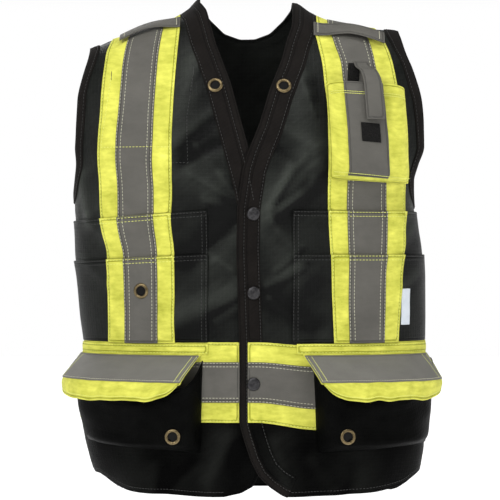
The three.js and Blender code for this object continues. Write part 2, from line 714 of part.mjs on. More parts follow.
// Cloth of even thickness over a grid of points; it lies above them and grows to the outer side
function clothSolid(points, thick, above = 0, part = {}) {
  const rows = points.length;
  const cols = points[0].length;
  const normals = points.map((row, i) => row.map((point, j) => {
    const a = points[i][Math.min(cols - 1, j + 1)].clone().sub(points[i][Math.max(0, j - 1)]);
    const b = points[Math.min(rows - 1, i + 1)][j].clone().sub(points[Math.max(0, i - 1)][j]);
    return a.cross(b).normalize();
  }));
  const { rowFrom = 0, rowTo = rows, colFrom = 0, colTo = cols } = part;
  const lift = (distance) => points.map((row, i) => row
    .map((point, j) => point.clone().addScaledVector(normals[i][j], distance))
    .slice(colFrom, colTo)).slice(rowFrom, rowTo);
  return solidFromGrid(lift(above + thick), lift(above));
}

// Radio pocket over the left chest stripe, open at its top
const radioTop = riseOf(BAND_TOP + UPPER_POCKET) + 0.245;
const tapeShare = TAPE_WIDTH * 0.94 / RADIO_WIDTH;
const tapeFrom = 0.44 - tapeShare / 2;
const tapeTo = 0.44 + tapeShare / 2;
const radioSpread = [0, 0.03, tapeFrom / 2, tapeFrom, 0.44, tapeTo, (1 + tapeTo) / 2, 0.97, 1];
const radioDrop = [0, 0.15, 0.35, 0.6, 0.8, 0.92, 1];
const RADIO_ROWS = [
  { down: 0.0, middle: 0.620, width: 0.99, out: 0.75 },
  { down: 0.3, middle: 0.627, width: 1.00, out: 0.90 },
  { down: 0.6, middle: 0.633, width: 1.01, out: 1.00 },
  { down: 0.85, middle: 0.634, width: 1.00, out: 1.00 },
  { down: 1.0, middle: 0.628, width: 0.98, out: 0.00 },
];
const radioBase = layerTop(2) + 2.2;
function radioPoint(across, down, extra = 0) {
  const middle = px(lookUp(RADIO_ROWS, 'down', down, 'middle'));
  const width = RADIO_WIDTH * lookUp(RADIO_ROWS, 'down', down, 'width');
  const z = pz(radioTop) - RADIO_HEIGHT * down + 4 * (0.5 - across);
  const x = middle + width * (across - 0.5);
  const side = 1 - Math.abs(2 * across - 1) ** 7;
  const low = down < 0.85 ? 1 : 1 - ((down - 0.85) / 0.15) ** 3;
  const out = lookUp(RADIO_ROWS.slice(0, 4), 'down', down, 'out');
  return lifted(x, z, radioBase + RADIO_DEPTH * side * low * out + extra, true);
}
const radioGrid = radioDrop.map((d) => radioSpread.map((a) => radioPoint(a, d))).reverse();
const radioTapePart = { rowFrom: 1, colFrom: 3, colTo: 6 };
add('radio_pocket', whole(clothSolid(radioGrid, POUCH_WALL).subtract(clearing(-1, 2, true))), 'lime');
add('radio_pocket_tape', clothSolid(radioGrid, TRIM, POUCH_WALL + GAP, radioTapePart), 'silver');

// Radio strap hanging over the pocket from its stitched top
const STRAP_ROWS = [
  { down: 0.00, middle: 0.600, out: 0.0, width: 0.80 },
  { down: 0.10, middle: 0.606, out: 0.25, width: 0.84 },
  { down: 0.24, middle: 0.628, out: 0.70, width: 0.92 },
  { down: 0.45, middle: 0.638, out: 0.95, width: 0.98 },
  { down: 0.75, middle: 0.641, out: 1.0, width: 1.0 },
  { down: 1.00, middle: 0.643, out: 1.0, width: 1.0 },
];
const strapTop = pz(0.862);
const strapOut = radioBase + RADIO_DEPTH + POUCH_WALL + TRIM + 4 - layerTop(2) - 0.6;
function strapPoint(across, down) {
  const middle = px(lookUp(STRAP_ROWS, 'down', down, 'middle'));
  const width = STRAP_WIDTH * lookUp(STRAP_ROWS, 'down', down, 'width');
  const out = lookUp(STRAP_ROWS, 'down', down, 'out');
  const anchor = skin(middle, strapTop - STRAP_LENGTH * down, true);
  const point = anchor.point.addScaledVector(anchor.normal, layerTop(2) + 0.6 + strapOut * out);
  point.x += width * (across - 0.5);
  point.y += 2 * (across - 0.5);
  return point;
}
const strapDrop = [0, 0.05, 0.1, 0.17, 0.24, 0.34, 0.45, 0.6, 0.75, 0.9, 1];
const strapGrid = strapDrop.map((d) => [0, 0.33, 0.67, 1].map((a) => strapPoint(a, d)));
add('radio_strap', clothSolid(strapGrid.reverse(), TRIM * 1.4), 'silver');
const patchGrid = [0, 0.5, 1].map((d) => [0, 0.5, 1].map((a) => radioPoint(
  0.44 + (PATCH_SIZE / RADIO_WIDTH) * (a - 0.5) + 0.035,
  0.52 - (PATCH_SIZE / RADIO_HEIGHT) * (d - 0.5),
  POUCH_WALL + TRIM + GAP + SEAT,
)));
add('hook_patch', clothSolid(patchGrid, TRIM), 'binding');

// Lower pouches: hollow bags with an open top, and flaps that stand out over them
const POUCHES = {
  right: { side: -1, inner: 0.258, width: 1.08, lift: 0.10 },
  left: { side: 1, inner: 0.345, width: 1.00, lift: 0.06 },
};
const weltHigh = BAND_TOP - WELT_DROP;
const pouchTop = weltHigh - WELT_HEIGHT - GAP;
const MOUTH_SLANT = 1.1;
const pouchBase = layerTop(2) - 1;
const pouchSpread = [0, 0.02, 0.07, 0.22, 0.41, 0.6, 0.79, 0.93, 0.98, 1];
const pouchDrop = [0, 0.35, 0.7, 0.84, 0.95, 1];
function pouchPoint(name, across, down) {
  const pouch = POUCHES[name];
  const rim = POUCH_DEPTH * MOUTH_SLANT * (1 - Math.abs(2 * across - 1) ** (across < 0.5 ? 8 : 3));
  const top = pouchTop - 2 * FLAP_ROOM - rim;
  const low = pouchTop - POUCH_HEIGHT + pouch.lift * across * POUCH_HEIGHT;
  const z = top + (low - top) * down;
  const inner = px(pouch.inner) * (1 + 0.06 * down);
  const x = pouch.side * (inner + POUCH_WIDTH * pouch.width * across * (1 - 0.03 * down));
  const side = 1 - Math.abs(2 * across - 1) ** (across < 0.5 ? 8 : 3);
  const floor = down < 0.84 ? 1 : 1 - ((down - 0.84) / 0.16) ** 2.6;
  const limit = halfWidthAt(x, z) - 1;
  const held = Math.sign(x) * Math.min(Math.abs(x), limit);
  return lifted(held, z, pouchBase + POUCH_DEPTH * side * floor * (0.86 + 0.14 * down), false);
}
for (const name of ['right', 'left']) {
  let grid = pouchDrop.map((d) => pouchSpread.map((a) => pouchPoint(name, a, d))).reverse();
  if (name === 'right') {
    grid = grid.map((row) => row.reverse());
  }
  const room = clearing(-1, 2, name === 'left');
  add(`pouch_${name}`, whole(clothSolid(grid, POUCH_WALL).subtract(room)), 'black');
}

// Welts above the flaps, then the flaps: lime cloth with silver tape on the upper part
const WELTS = { right: { side: -1, from: 0.226, to: 0.93 }, left: { side: 1, from: 0.252, to: 0.95 } };
for (const name of ['right', 'left']) {
  const welt = WELTS[name];
  const outline = [
    [welt.side * px(welt.from), weltHigh - WELT_HEIGHT],
    [welt.side * FAR, weltHigh - WELT_HEIGHT],
    [welt.side * FAR, weltHigh],
    [welt.side * px(welt.from), weltHigh],
  ];
  add(`welt_${name}`, whole(layerShell(-1, 2, name === 'left').intersect(cutter(-1, outline))
    .subtract(cutter(-1, pocketOutline(name, MIDDLE_POCKET, GAP)))), 'lime');
}
const FLAPS = {
  right: { side: -1, inner: 0.264, outer: 0.925, lowInner: 0.35, lowOuter: 0.955 },
  left: { side: 1, inner: 0.285, outer: 0.955, lowInner: 0.36, lowOuter: 0.97 },
};
const FLAP_ROWS = [
  { down: 0.00, out: 0.00, drop: 0.00, spread: 0.0 },
  { down: 0.08, out: 0.10, drop: 0.06, spread: 0.1 },
  { down: 0.35, out: 0.50, drop: 0.32, spread: 0.5 },
  { down: 0.62, out: 0.86, drop: 0.60, spread: 0.9 },
  { down: 0.72, out: 0.97, drop: 0.70, spread: 1.0 },
  { down: 0.86, out: 1.03, drop: 0.86, spread: 1.0 },
  { down: 1.00, out: 1.03, drop: 1.00, spread: 1.0 },
];
const flapFall = FLAP_TAPE * 0.76 + FLAP_BORDER;
function flapPoint(name, across, down, extra) {
  const flap = FLAPS[name];
  const spread = lookUp(FLAP_ROWS, 'down', down, 'spread');
  const inner = flap.inner + (flap.lowInner - flap.inner) * spread;
  const outer = flap.outer + (flap.lowOuter - flap.outer) * spread;
  const z = pouchTop - flapFall * lookUp(FLAP_ROWS, 'down', down, 'drop');
  const x = flap.side * px(inner + (outer - inner) * across);
  const limit = halfWidthAt(x, z) - 1;
  const held = Math.sign(x) * Math.min(Math.abs(x), limit);
  const ends = 1 - (across < 0.5 ? 0.2 : 0.52) * Math.abs(2 * across - 1) ** 2.2;
  const out = FLAP_REACH * lookUp(FLAP_ROWS, 'down', down, 'out') * ends;
  return lifted(held, z, layerTop(2) - 0.5 + out + extra, false);
}
for (const name of ['right', 'left']) {
  const spread = [0, 0.1, 0.26, 0.42, 0.58, 0.74, 0.9, 1];
  let rows = FLAP_ROWS.map(({ down }) => spread.map((a) => flapPoint(name, a, down, 0))).reverse();
  if (name === 'right') {
    rows = rows.map((row) => row.reverse());
  }
  const tapePart = { rowFrom: 3, rowTo: 6 };
  const room = clearing(-1, 2, name === 'left');
  add(`flap_${name}`, whole(clothSolid(rows, FLAP_CLOTH).subtract(room)), 'lime');
  add(`flap_tape_${name}`, clothSolid(rows, TRIM, FLAP_CLOTH + GAP, tapePart), 'silver');
}

// Shoulder straps across the stripes, in front of the shoulder line and lifted in the middle; leans in degrees
const SHOULDERS = {
  right: { side: -1, from: 0.385, to: 0.720, leanFrom: 34, leanTo: 14 },
  left: { side: 1, from: 0.350, to: 0.740, leanFrom: 50, leanTo: 37 },
};
for (const name of ['right', 'left']) {
  const strap = SHOULDERS[name];
  const rows = [];
  for (let i = 0; i <= 6; i++) {
    const share = i / 6;
    const x = strap.side * px(strap.from + (strap.to - strap.from) * share);
    const ridge = ridgeAt(Math.abs(x) / halfWidthAt(x, pz(0.94)), name);
    const lift = layerTop(2) + 1.2 + SHOULDER_STRAP_LIFT * Math.sin(Math.PI * share);
    const row = [];
    for (let k = 0; k <= 4; k++) {
      const middle = strap.leanFrom + (strap.leanTo - strap.leanFrom) * share;
      const turn = rad(-middle) + SHOULDER_STRAP_WIDTH / SHOULDER_ROUND * (k / 4 - 0.5);
      const face = turn < 0 ? -1 : 1;
      const column = face < 0 ? 'front' : 'back';
      const size = face < 0 ? FRONT_DEPTH : BACK_DEPTH;
      const depth = size * lookUp(SECTIONS, 'rise', riseOf(ridge), column);
      const y = Math.sin(turn) * depth;
      const down = SHOULDER_ROUND * (1 - Math.cos(turn));
      row.push(new THREE.Vector3(x, y, ridge - down + lift));
    }
    rows.push(row);
  }
  if (name === 'right') {
    rows.reverse();
  }
  const flipped = rows[0].map((point, k) => rows.map((row) => row[k]));
  const room = clearing(-1, 2, false).add(clearing(1, 2, false));
  add(`shoulder_strap_${name}`, whole(clothSolid(flipped, TRIM * 1.4).subtract(room)), 'silver');
}

// Round hardware set flat on the cloth
function turned(profile, sides, x, z, height, lapped) {
  const { point, normal } = spotOnLayer(x, z, height, lapped);
  const geometry = new THREE.LatheGeometry(profile.map(([r, h]) => new THREE.Vector2(r, h)), sides);
  const turn = new THREE.Quaternion().setFromUnitVectors(new THREE.Vector3(0, 1, 0), normal);
  geometry.applyQuaternion(turn);
  geometry.translate(point.x, point.y, point.z);
  return geometry;
}

function addTurned(name, geometry, paint, sides, count, closed) {
  // Weld the turned profile into one closed body
  const source = geometry.getAttribute('position');
  const verts = [];
  const index = [];
  const poleFirst = !closed;
  for (let s = 0; s < sides; s++) {
    for (let k = 0; k < count; k++) {
      const id = s * count + k;
      if (poleFirst && (k === 0 || k === count - 1)) {
        if (s > 0) {
          index[id] = index[k];
          continue;
        }
      }
      index[id] = verts.length / 3;
      verts.push(source.getX(id), source.getY(id), source.getZ(id));
    }
  }
  const tris = [];
  const steps = closed ? count : count - 1;
  for (let s = 0; s < sides; s++) {
    for (let k = 0; k < steps; k++) {
      const next = (s + 1) % sides;
      const up = (k + 1) % count;
      const a = index[s * count + k];
      const b = index[next * count + k];
      const c = index[next * count + up];
      const d = index[s * count + up];
      if (a !== b) {
        tris.push(a, b, c);
      }
      if (c !== d) {
        tris.push(a, c, d);
      }
    }
  }
  const make = (order) => new Manifold(new wasm.Mesh({
    numProp: 3,
    vertProperties: new Float32Array(verts),
    triVerts: new Uint32Array(order),
  }));
  let solid = make(tris);
  if (solid.volume() < 0) {
    const flipped = [];
    for (let k = 0; k < tris.length; k += 3) {
      flipped.push(tris[k], tris[k + 2], tris[k + 1]);
    }
    solid = make(flipped);
  }
  add(name, solid, paint);
}

const SIDES = 12;
const snapProfile = [
  [0, 0],
  [SNAP_DIAMETER / 2, 0],
  [SNAP_DIAMETER / 2, SNAP_RISE * 0.4],
  [SNAP_DIAMETER * 0.38, SNAP_RISE],
  [0, SNAP_RISE],
];
const SNAPS = [
  { name: 'snap_upper', rise: 0.561, layer: 1 },
  { name: 'snap_middle', rise: 0.404, layer: 1 },
  { name: 'snap_lower', rise: 0.223, layer: 2 },
];
for (const snap of SNAPS) {
  const x = px(-0.062) + PLACKET * 0.66 + 0.6;
  const height = layerTop(snap.layer) + SEAT;
  const geometry = turned(snapProfile, SIDES, x, pz(snap.rise), height, true);
  addTurned(snap.name, geometry, 'gunmetal', SIDES, snapProfile.length, false);
}

const eyeletProfile = [
  [EYELET_INNER / 2, 0],
  [EYELET_OUTER / 2, 0],
  [EYELET_OUTER / 2 - 0.5, EYELET_RISE],
  [EYELET_INNER / 2, EYELET_RISE],
];
const EYELETS = [
  { name: 'eyelet_neck_right', x: -0.189, rise: 0.816, height: layerTop(1) + SEAT, lapped: false },
  { name: 'eyelet_neck_left', x: 0.182, rise: 0.813, height: layerTop(1) + SEAT, lapped: true },
  { name: 'eyelet_middle_pocket', x: -0.590, rise: 0.408, height: layerTop(4) + SEAT, lapped: false },
];
for (const eyelet of EYELETS) {
  const geometry = turned(eyeletProfile, SIDES, px(eyelet.x), pz(eyelet.rise), eyelet.height, eyelet.lapped);
  addTurned(eyelet.name, geometry, 'brass', SIDES, eyeletProfile.length, true);
}
const EYELET_DOWN = 0.74;
for (const name of ['right', 'left']) {
  const across = name === 'right' ? 0.205 : 0.215;
  const middle = pouchPoint(name, across, EYELET_DOWN);
  const a = pouchPoint(name, across + 0.06, EYELET_DOWN).sub(pouchPoint(name, across - 0.06, EYELET_DOWN));
  const b = pouchPoint(name, across, EYELET_DOWN - 0.06).sub(pouchPoint(name, across, EYELET_DOWN + 0.06));
  const normal = a.cross(b).normalize();
  if (normal.y > 0) {
    normal.negate();
  }
  const geometry = new THREE.LatheGeometry(
    eyeletProfile.map(([r, h]) => new THREE.Vector2(r, h + POUCH_WALL + SEAT / 4)),
    SIDES,
  );
  geometry.applyQuaternion(new THREE.Quaternion().setFromUnitVectors(new THREE.Vector3(0, 1, 0), normal));
  geometry.translate(middle.x, middle.y, middle.z);
  addTurned(`eyelet_pouch_${name}`, geometry, 'brass', SIDES, eyeletProfile.length, true);
}

// Side label beside the left stripe
const labelFrom = lookUp(STRIPES.left, 'rise', 0.375, 'middle') * HALF_WIDTH
  + LIME_WIDTH / 2 * lookUp(STRIPES.left, 'rise', 0.375, 'lime') + GAP + 1.5;
const labelTop = pz(0.411);
add('side_label', whole(layerShell(-1, 3, true).intersect(cutter(-1, [
  [labelFrom, labelTop - LABEL_HEIGHT],
  [labelFrom + LABEL_WIDTH, labelTop - LABEL_HEIGHT],
  [labelFrom + LABEL_WIDTH, labelTop],
  [labelFrom, labelTop],
]))), 'grey');

export default group;
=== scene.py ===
import math

import bpy
import numpy as np
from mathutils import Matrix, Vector, geometry
from mathutils.bvhtree import BVHTree


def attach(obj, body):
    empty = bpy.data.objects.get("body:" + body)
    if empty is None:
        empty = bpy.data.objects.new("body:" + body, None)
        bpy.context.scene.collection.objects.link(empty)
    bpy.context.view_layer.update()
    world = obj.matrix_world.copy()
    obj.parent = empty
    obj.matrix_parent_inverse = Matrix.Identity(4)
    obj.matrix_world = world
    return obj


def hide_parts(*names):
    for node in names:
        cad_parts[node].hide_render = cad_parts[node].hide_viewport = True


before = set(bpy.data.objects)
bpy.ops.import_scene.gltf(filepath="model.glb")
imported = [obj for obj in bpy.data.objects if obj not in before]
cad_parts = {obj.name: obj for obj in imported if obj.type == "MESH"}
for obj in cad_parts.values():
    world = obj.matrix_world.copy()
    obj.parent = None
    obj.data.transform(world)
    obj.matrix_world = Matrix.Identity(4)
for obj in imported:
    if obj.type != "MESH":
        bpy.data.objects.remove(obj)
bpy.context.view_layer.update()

# Camera, light and sky

scene = bpy.context.scene
lens = bpy.data.cameras.new("front_camera")
lens.sensor_width = 36.0
lens.lens = 36.0 * (3.0 / 1.27e-3) / 500.0
lens.clip_end = 50.0
camera = bpy.data.objects.new("front_camera", lens)
camera.location = (0.0, -3.12, -0.299)
camera.rotation_euler = (math.radians(90), 0.0, 0.0)
scene.collection.objects.link(camera)
scene.camera = camera
scene.view_settings.view_transform = "Standard"


def soft_box(name, place, aim, width, height, power):
    lamp = bpy.data.lights.new(name, "AREA")
    lamp.shape = "RECTANGLE"
    lamp.size = width
    lamp.size_y = height
    lamp.energy = power
    made = bpy.data.objects.new(name, lamp)
    made.location = place
    made.rotation_euler = (Vector(aim) - Vector(place)).to_track_quat("-Z", "Y").to_euler()
    scene.collection.objects.link(made)


soft_box("key_light", (-1.5, -2.3, 1.5), (0.0, 0.0, -0.25), 1.2, 1.2, 68.0)
soft_box("top_light", (0.3, -0.6, 2.1), (0.0, 0.0, -0.2), 1.6, 1.2, 34.0)
soft_box("side_light", (2.3, -1.0, 0.3), (0.0, 0.0, -0.3), 0.8, 1.6, 18.0)
soft_box("back_light", (-1.2, 2.4, 1.2), (0.0, 0.0, -0.3), 1.6, 1.6, 26.0)

sky = bpy.data.worlds.new("pale_studio")
sky.use_nodes = True
sky.node_tree.nodes["Background"].inputs[0].default_value = (1.0, 1.0, 1.0, 1.0)
# The sky is white at the horizon and dimmer higher up, so that folds show
sky_place = sky.node_tree.nodes.new("ShaderNodeTexCoord")
sky_split = sky.node_tree.nodes.new("ShaderNodeSeparateXYZ")
sky_fade = sky.node_tree.nodes.new("ShaderNodeMapRange")
for socket, value in (("From Min", 0.10), ("From Max", 0.32), ("To Min", 1.0), ("To Max", 0.38)):
    sky_fade.inputs[socket].default_value = value
sky.node_tree.links.new(sky_place.outputs["Generated"], sky_split.inputs[0])
sky.node_tree.links.new(sky_split.outputs["Z"], sky_fade.inputs["Value"])
sky.node_tree.links.new(sky_fade.outputs[0], sky.node_tree.nodes["Background"].inputs[1])
scene.world = sky

# Named sizes of the vest, in millimetres

VEST_HEIGHT = 642
HALF_WIDTH = 236
FRONT_DEPTH = 122
BACK_DEPTH = 112
REST_HEIGHT = 613
SHOULDER_ROUND = 62
SQUARENESS = 2.3
CLOTH = 1.2
TRIM = 1.0
GAP = 0.3
TAPE_WIDTH = 50.8
LIME_WIDTH = 101.6
BAND_MIDDLE = 145.4
NECK_BAND = 30
PLACKET = 28
PLACKET_EDGE = 10
ARM_BINDING = 9
ARM_TILT = math.radians(25)
BACK_NECK_DROP = 46
UPPER_POCKET = 168
MIDDLE_POCKET = 112
POCKET_INSET = 54
RADIO_HEIGHT = 118
RADIO_WIDTH = 98
RADIO_DEPTH = 15
STRAP_WIDTH = 23
STRAP_LENGTH = 78
PATCH_SIZE = 22
POUCH_WIDTH = 146
POUCH_HEIGHT = 124
POUCH_DEPTH = 34
POUCH_WALL = 1.5
FLAP_ROOM = 4
WELT_HEIGHT = 13
WELT_DROP = 2.2
FLAP_TAPE = 44
FLAP_BORDER = 25
FLAP_REACH = 40
FLAP_CLOTH = 1.4
SHOULDER_STRAP_WIDTH = 20
SHOULDER_STRAP_LIFT = 3
SHOULDER_ARC = 96
FAR = 420
LAP_FROM = 24
LAP_FADE = 44
RING_HALF_WIDTH = 228
RING_DEPTH = 115
UNDERLAP = 3
EYELET_DOWN = 0.74
BESIDE = 0.01

# Shares: rise, right, left, front, back
SECTIONS = np.array([
    (-0.012, 0.780, 0.895, 0.915, 0.93), (0.020, 0.830, 0.928, 0.920, 0.925),
    (0.045, 0.872, 0.947, 0.925, 0.92), (0.089, 0.905, 0.964, 0.932, 0.91),
    (0.154, 0.938, 0.970, 0.936, 0.90), (0.182, 0.940, 0.970, 0.934, 0.89),
    (0.296, 0.915, 0.962, 0.918, 0.86), (0.358, 0.934, 0.964, 0.925, 0.87),
    (0.430, 0.950, 0.962, 0.938, 0.90), (0.489, 0.966, 0.948, 0.951, 0.93),
    (0.545, 0.968, 0.922, 0.975, 0.96), (0.590, 0.972, 0.904, 0.990, 0.98),
    (0.630, 0.984, 0.920, 1.000, 0.99), (0.663, 1.004, 0.966, 1.000, 1.00),
    (0.700, 1.028, 1.020, 0.975, 1.00), (0.785, 1.040, 1.048, 0.860, 0.94),
    (0.857, 1.035, 1.030, 0.690, 0.80), (0.902, 1.045, 1.025, 0.580, 0.68),
    (1.000, 1.045, 1.020, 0.500, 0.60),
])
# Shares: across, right, left
RIDGE = np.array([
    (0.00, 1.006, 1.000), (0.25, 1.006, 0.992), (0.32, 0.982, 0.975), (0.43, 0.956, 0.956),
    (0.60, 0.934, 0.945), (0.70, 0.921, 0.940), (0.80, 0.907, 0.936), (0.86, 0.897, 0.918),
    (1.00, 0.858, 0.868),
])
# Broad folds: x0, rise0, x1, rise1, spread, lift
FOLDS = np.array([
    (-0.20, 0.60, -0.55, 0.66, 20, 2.6), (0.10, 0.57, 0.36, 0.66, 20, 2.4),
    (-0.08, 0.55, -0.30, 0.47, 18, -2.2), (0.08, 0.54, 0.28, 0.44, 18, 2.2),
    (-0.06, 0.40, -0.40, 0.35, 18, 2.4), (0.06, 0.39, 0.34, 0.33, 18, -2.2),
    (-0.92, 0.62, -0.70, 0.52, 22, 3.0), (0.92, 0.62, 0.78, 0.50, 22, 3.0),
    (-0.30, 0.85, -0.42, 0.70, 24, 2.2), (0.26, 0.82, 0.34, 0.70, 22, 2.0),
    (-0.14, 0.11, -0.18, 0.01, 20, 3.2), (0.20, 0.10, 0.24, 0.01, 20, 3.0),
    (-0.60, 0.08, -0.58, 0.00, 26, 3.0), (0.62, 0.08, 0.66, 0.00, 26, 3.2),
])
# Fine creases of the front, in the same columns
CREASES = np.array([
    (-0.02, 0.575, -0.16, 0.640, 5, 1.1), (-0.05, 0.560, -0.24, 0.590, 5, 0.9),
    (0.10, 0.575, 0.22, 0.655, 5, 1.1), (0.11, 0.560, 0.27, 0.600, 5, 0.9),
    (-0.05, 0.555, -0.20, 0.520, 5, -0.9), (0.11, 0.550, 0.24, 0.500, 5, 1.0),
    (-0.02, 0.425, -0.20, 0.470, 6, 1.0), (0.09, 0.420, 0.26, 0.455, 6, 1.0),
    (-0.04, 0.395, -0.21, 0.360, 5, -0.9), (0.10, 0.395, 0.25, 0.350, 5, 1.0),
    (0.16, 0.730, 0.34, 0.690, 7, 1.0), (0.14, 0.690, 0.30, 0.640, 7, -0.9),
    (-0.22, 0.760, -0.40, 0.700, 8, 0.9), (-0.16, 0.700, -0.36, 0.660, 7, -0.8),
    (-0.24, 0.900, -0.34, 0.840, 8, 0.9), (0.24, 0.900, 0.32, 0.800, 8, 0.9),
    (-0.88, 0.560, -0.74, 0.500, 7, 1.3), (0.90, 0.540, 0.76, 0.470, 7, 1.3),
    (-0.90, 0.470, -0.76, 0.420, 7, 1.0), (0.90, 0.440, 0.78, 0.400, 7, 1.0),
    (-0.92, 0.640, -0.86, 0.540, 8, 1.2), (0.92, 0.640, 0.86, 0.560, 8, 1.2),
    (-0.10, 0.120, -0.22, 0.030, 9, 1.4), (0.14, 0.110, 0.20, 0.020, 9, 1.3),
    (-0.30, 0.070, -0.44, 0.020, 9, -1.1), (0.34, 0.070, 0.46, 0.015, 9, 1.2),
    (-0.50, 0.060, -0.52, 0.000, 10, 1.3), (0.56, 0.060, 0.54, 0.000, 10, -1.2),
    (-0.12, 0.620, -0.30, 0.700, 3, 0.6), (-0.10, 0.590, -0.33, 0.640, 3, 0.6),
    (-0.08, 0.530, -0.28, 0.490, 3, -0.6), (-0.10, 0.450, -0.30, 0.500, 3, 0.6),
    (0.13, 0.600, 0.30, 0.680, 3, 0.6), (0.14, 0.580, 0.31, 0.630, 3, -0.6),
    (0.14, 0.530, 0.29, 0.470, 3, 0.6), (0.13, 0.450, 0.28, 0.500, 3, 0.6),
    (-0.27, 0.860, -0.36, 0.800, 3, 0.5), (0.27, 0.840, 0.34, 0.760, 3, 0.5),
])
# Stripes: rise, middle, tape and lime shares
STRIPES = {
    "right": np.array([
        (0.933, 0.566, 0.82, 0.85), (0.884, 0.592, 0.87, 0.91), (0.790, 0.611, 0.88, 0.92),
        (0.685, 0.624, 0.94, 0.95), (0.613, 0.614, 0.90, 0.91), (0.559, 0.612, 0.87, 0.865),
        (0.482, 0.588, 0.82, 0.83), (0.304, 0.581, 0.81, 0.83),
    ]),
    "left": np.array([
        (0.941, 0.520, 0.86, 0.81), (0.905, 0.558, 0.90, 0.87), (0.862, 0.588, 0.85, 0.90),
        (0.822, 0.603, 0.89, 0.92), (0.764, 0.624, 0.91, 0.95), (0.671, 0.632, 0.98, 0.98),
        (0.575, 0.626, 0.98, 0.96), (0.489, 0.627, 0.92, 0.91), (0.390, 0.627, 0.90, 0.86),
        (0.302, 0.627, 0.88, 0.81),
    ]),
}
# Neck and closure edges: x and rise
NECK = {
    "right": np.array([
        (-0.285, 1.100), (-0.282, 0.993), (-0.242, 0.973), (-0.191, 0.904), (-0.108, 0.821),
        (-0.005, 0.681), (0.040, 0.620), (0.065, 0.570), (0.065, 0.084), (0.048, 0.044),
        (0.016, 0.020), (-0.048, 0.007), (-0.140, 0.000),
    ]),
    "left": np.array([
        (0.238, 1.100), (0.237, 0.984), (0.236, 0.944), (0.205, 0.910), (0.174, 0.866),
        (0.108, 0.804), (0.054, 0.738), (0.000, 0.689), (-0.032, 0.653), (-0.065, 0.574),
        (-0.070, 0.489), (-0.054, 0.307), (-0.054, 0.147), (-0.032, 0.117), (0.005, 0.074),
        (0.048, 0.042), (0.108, 0.020), (0.172, 0.004), (0.200, 0.000),
    ]),
}
NECK_BACK = np.array([
    (-0.285, -1.00), (-0.282, 0.10), (-0.230, 0.45), (-0.150, 0.82), (-0.060, 0.98),
    (0.030, 0.98), (0.115, 0.82), (0.190, 0.48), (0.236, 0.20), (0.238, -1.00),
])
# Armholes: top x and rise, bottom x and rise, front and back reach
ARMHOLES = {
    "right": (0.908, 0.903, 0.972, 0.600, 0.45, 0.53),
    "left": (0.835, 0.938, 0.904, 0.588, 0.45, 0.53),
}
POCKET_SIDE = {"right": 0.90, "left": 0.985}
SIDE = {"right": -1.0, "left": 1.0}

BAND_TOP = BAND_MIDDLE - REST_HEIGHT + LIME_WIDTH / 2
BAND_LOW = BAND_MIDDLE - REST_HEIGHT - LIME_WIDTH / 2
WELT_HIGH = BAND_TOP - WELT_DROP
POUCH_TOP = WELT_HIGH - WELT_HEIGHT - GAP


def px(share):
    return share * HALF_WIDTH


def pz(rise):
    return rise * VEST_HEIGHT - REST_HEIGHT


def smooth(value):
    t = np.clip(value, 0.0, 1.0)
    return t * t * (3 - 2 * t)


class Curve:
    """A smooth line through named places that never overshoots them."""

    def __init__(self, places, heights):
        order = np.argsort(places)
        self.x = np.asarray(places, float)[order]
        self.y = np.asarray(heights, float)[order]
        step = np.diff(self.x)
        rise = np.diff(self.y) / step
        slope = np.zeros_like(self.x)
        slope[0], slope[-1] = rise[0], rise[-1]
        both = rise[:-1] * rise[1:] > 0
        slope[1:-1][both] = 2 / (1 / rise[:-1][both] + 1 / rise[1:][both])
        self.step, self.slope = step, slope

    def __call__(self, value):
        v = np.clip(value, self.x[0], self.x[-1])
        i = np.clip(np.searchsorted(self.x, v) - 1, 0, len(self.x) - 2)
        h = self.step[i]
        t = (v - self.x[i]) / h
        a = (1 + 2 * t) * (1 - t) ** 2 * self.y[i] + t * (1 - t) ** 2 * h * self.slope[i]
        return a + t * t * (3 - 2 * t) * self.y[i + 1] + t * t * (t - 1) * h * self.slope[i + 1]


HALF = {s: Curve(SECTIONS[:, 0], SECTIONS[:, k]) for s, k in (("right", 1), ("left", 2))}
DEPTH = {-1: Curve(SECTIONS[:, 0], SECTIONS[:, 3]), 1: Curve(SECTIONS[:, 0], SECTIONS[:, 4])}
CREST = {s: Curve(RIDGE[:, 0], RIDGE[:, k]) for s, k in (("right", 1), ("left", 2))}


def by_side(curves, x, value):
    return np.where(np.asarray(x) < 0, curves["right"](value), curves["left"](value))


def rise_of(z):
    return (z + REST_HEIGHT) / VEST_HEIGHT


def half_width_at(x, z):
    return px(by_side(HALF, x, rise_of(z)))


# Distance round the body from the front's middle, by angle
TURNS = np.linspace(0, math.pi / 2, 400)
quarter = np.stack([RING_HALF_WIDTH * np.sin(TURNS) ** (2 / SQUARENESS),
                    RING_DEPTH * np.cos(TURNS) ** (2 / SQUARENESS)], 1)
AROUND = np.concatenate([[0], np.cumsum(np.hypot(*np.diff(quarter, axis=0).T))])
ARC = float(AROUND[-1])


def crest_at(around):
    turn = np.interp(np.minimum(np.abs(around), ARC), AROUND, TURNS)
    return pz(by_side(CREST, around, np.sin(turn) ** (2 / SQUARENESS)))


def top_at(around):
    return crest_at(around) - SHOULDER_ROUND + SHOULDER_ARC


def to_cloth(x, z):
    """Place round the body and height along the cloth, for a place seen from the front."""
    share = np.clip(np.abs(x) / half_width_at(x, z), 0, 1)
    around = np.sign(x) * np.interp(np.arcsin(share ** (SQUARENESS / 2)), TURNS, AROUND)
    start = crest_at(around) - SHOULDER_ROUND
    lean = np.arcsin(np.clip((z - start) / SHOULDER_ROUND, 0, 1)) / (math.pi / 2)
    return around, np.where(z <= start, z, start + SHOULDER_ARC * lean)


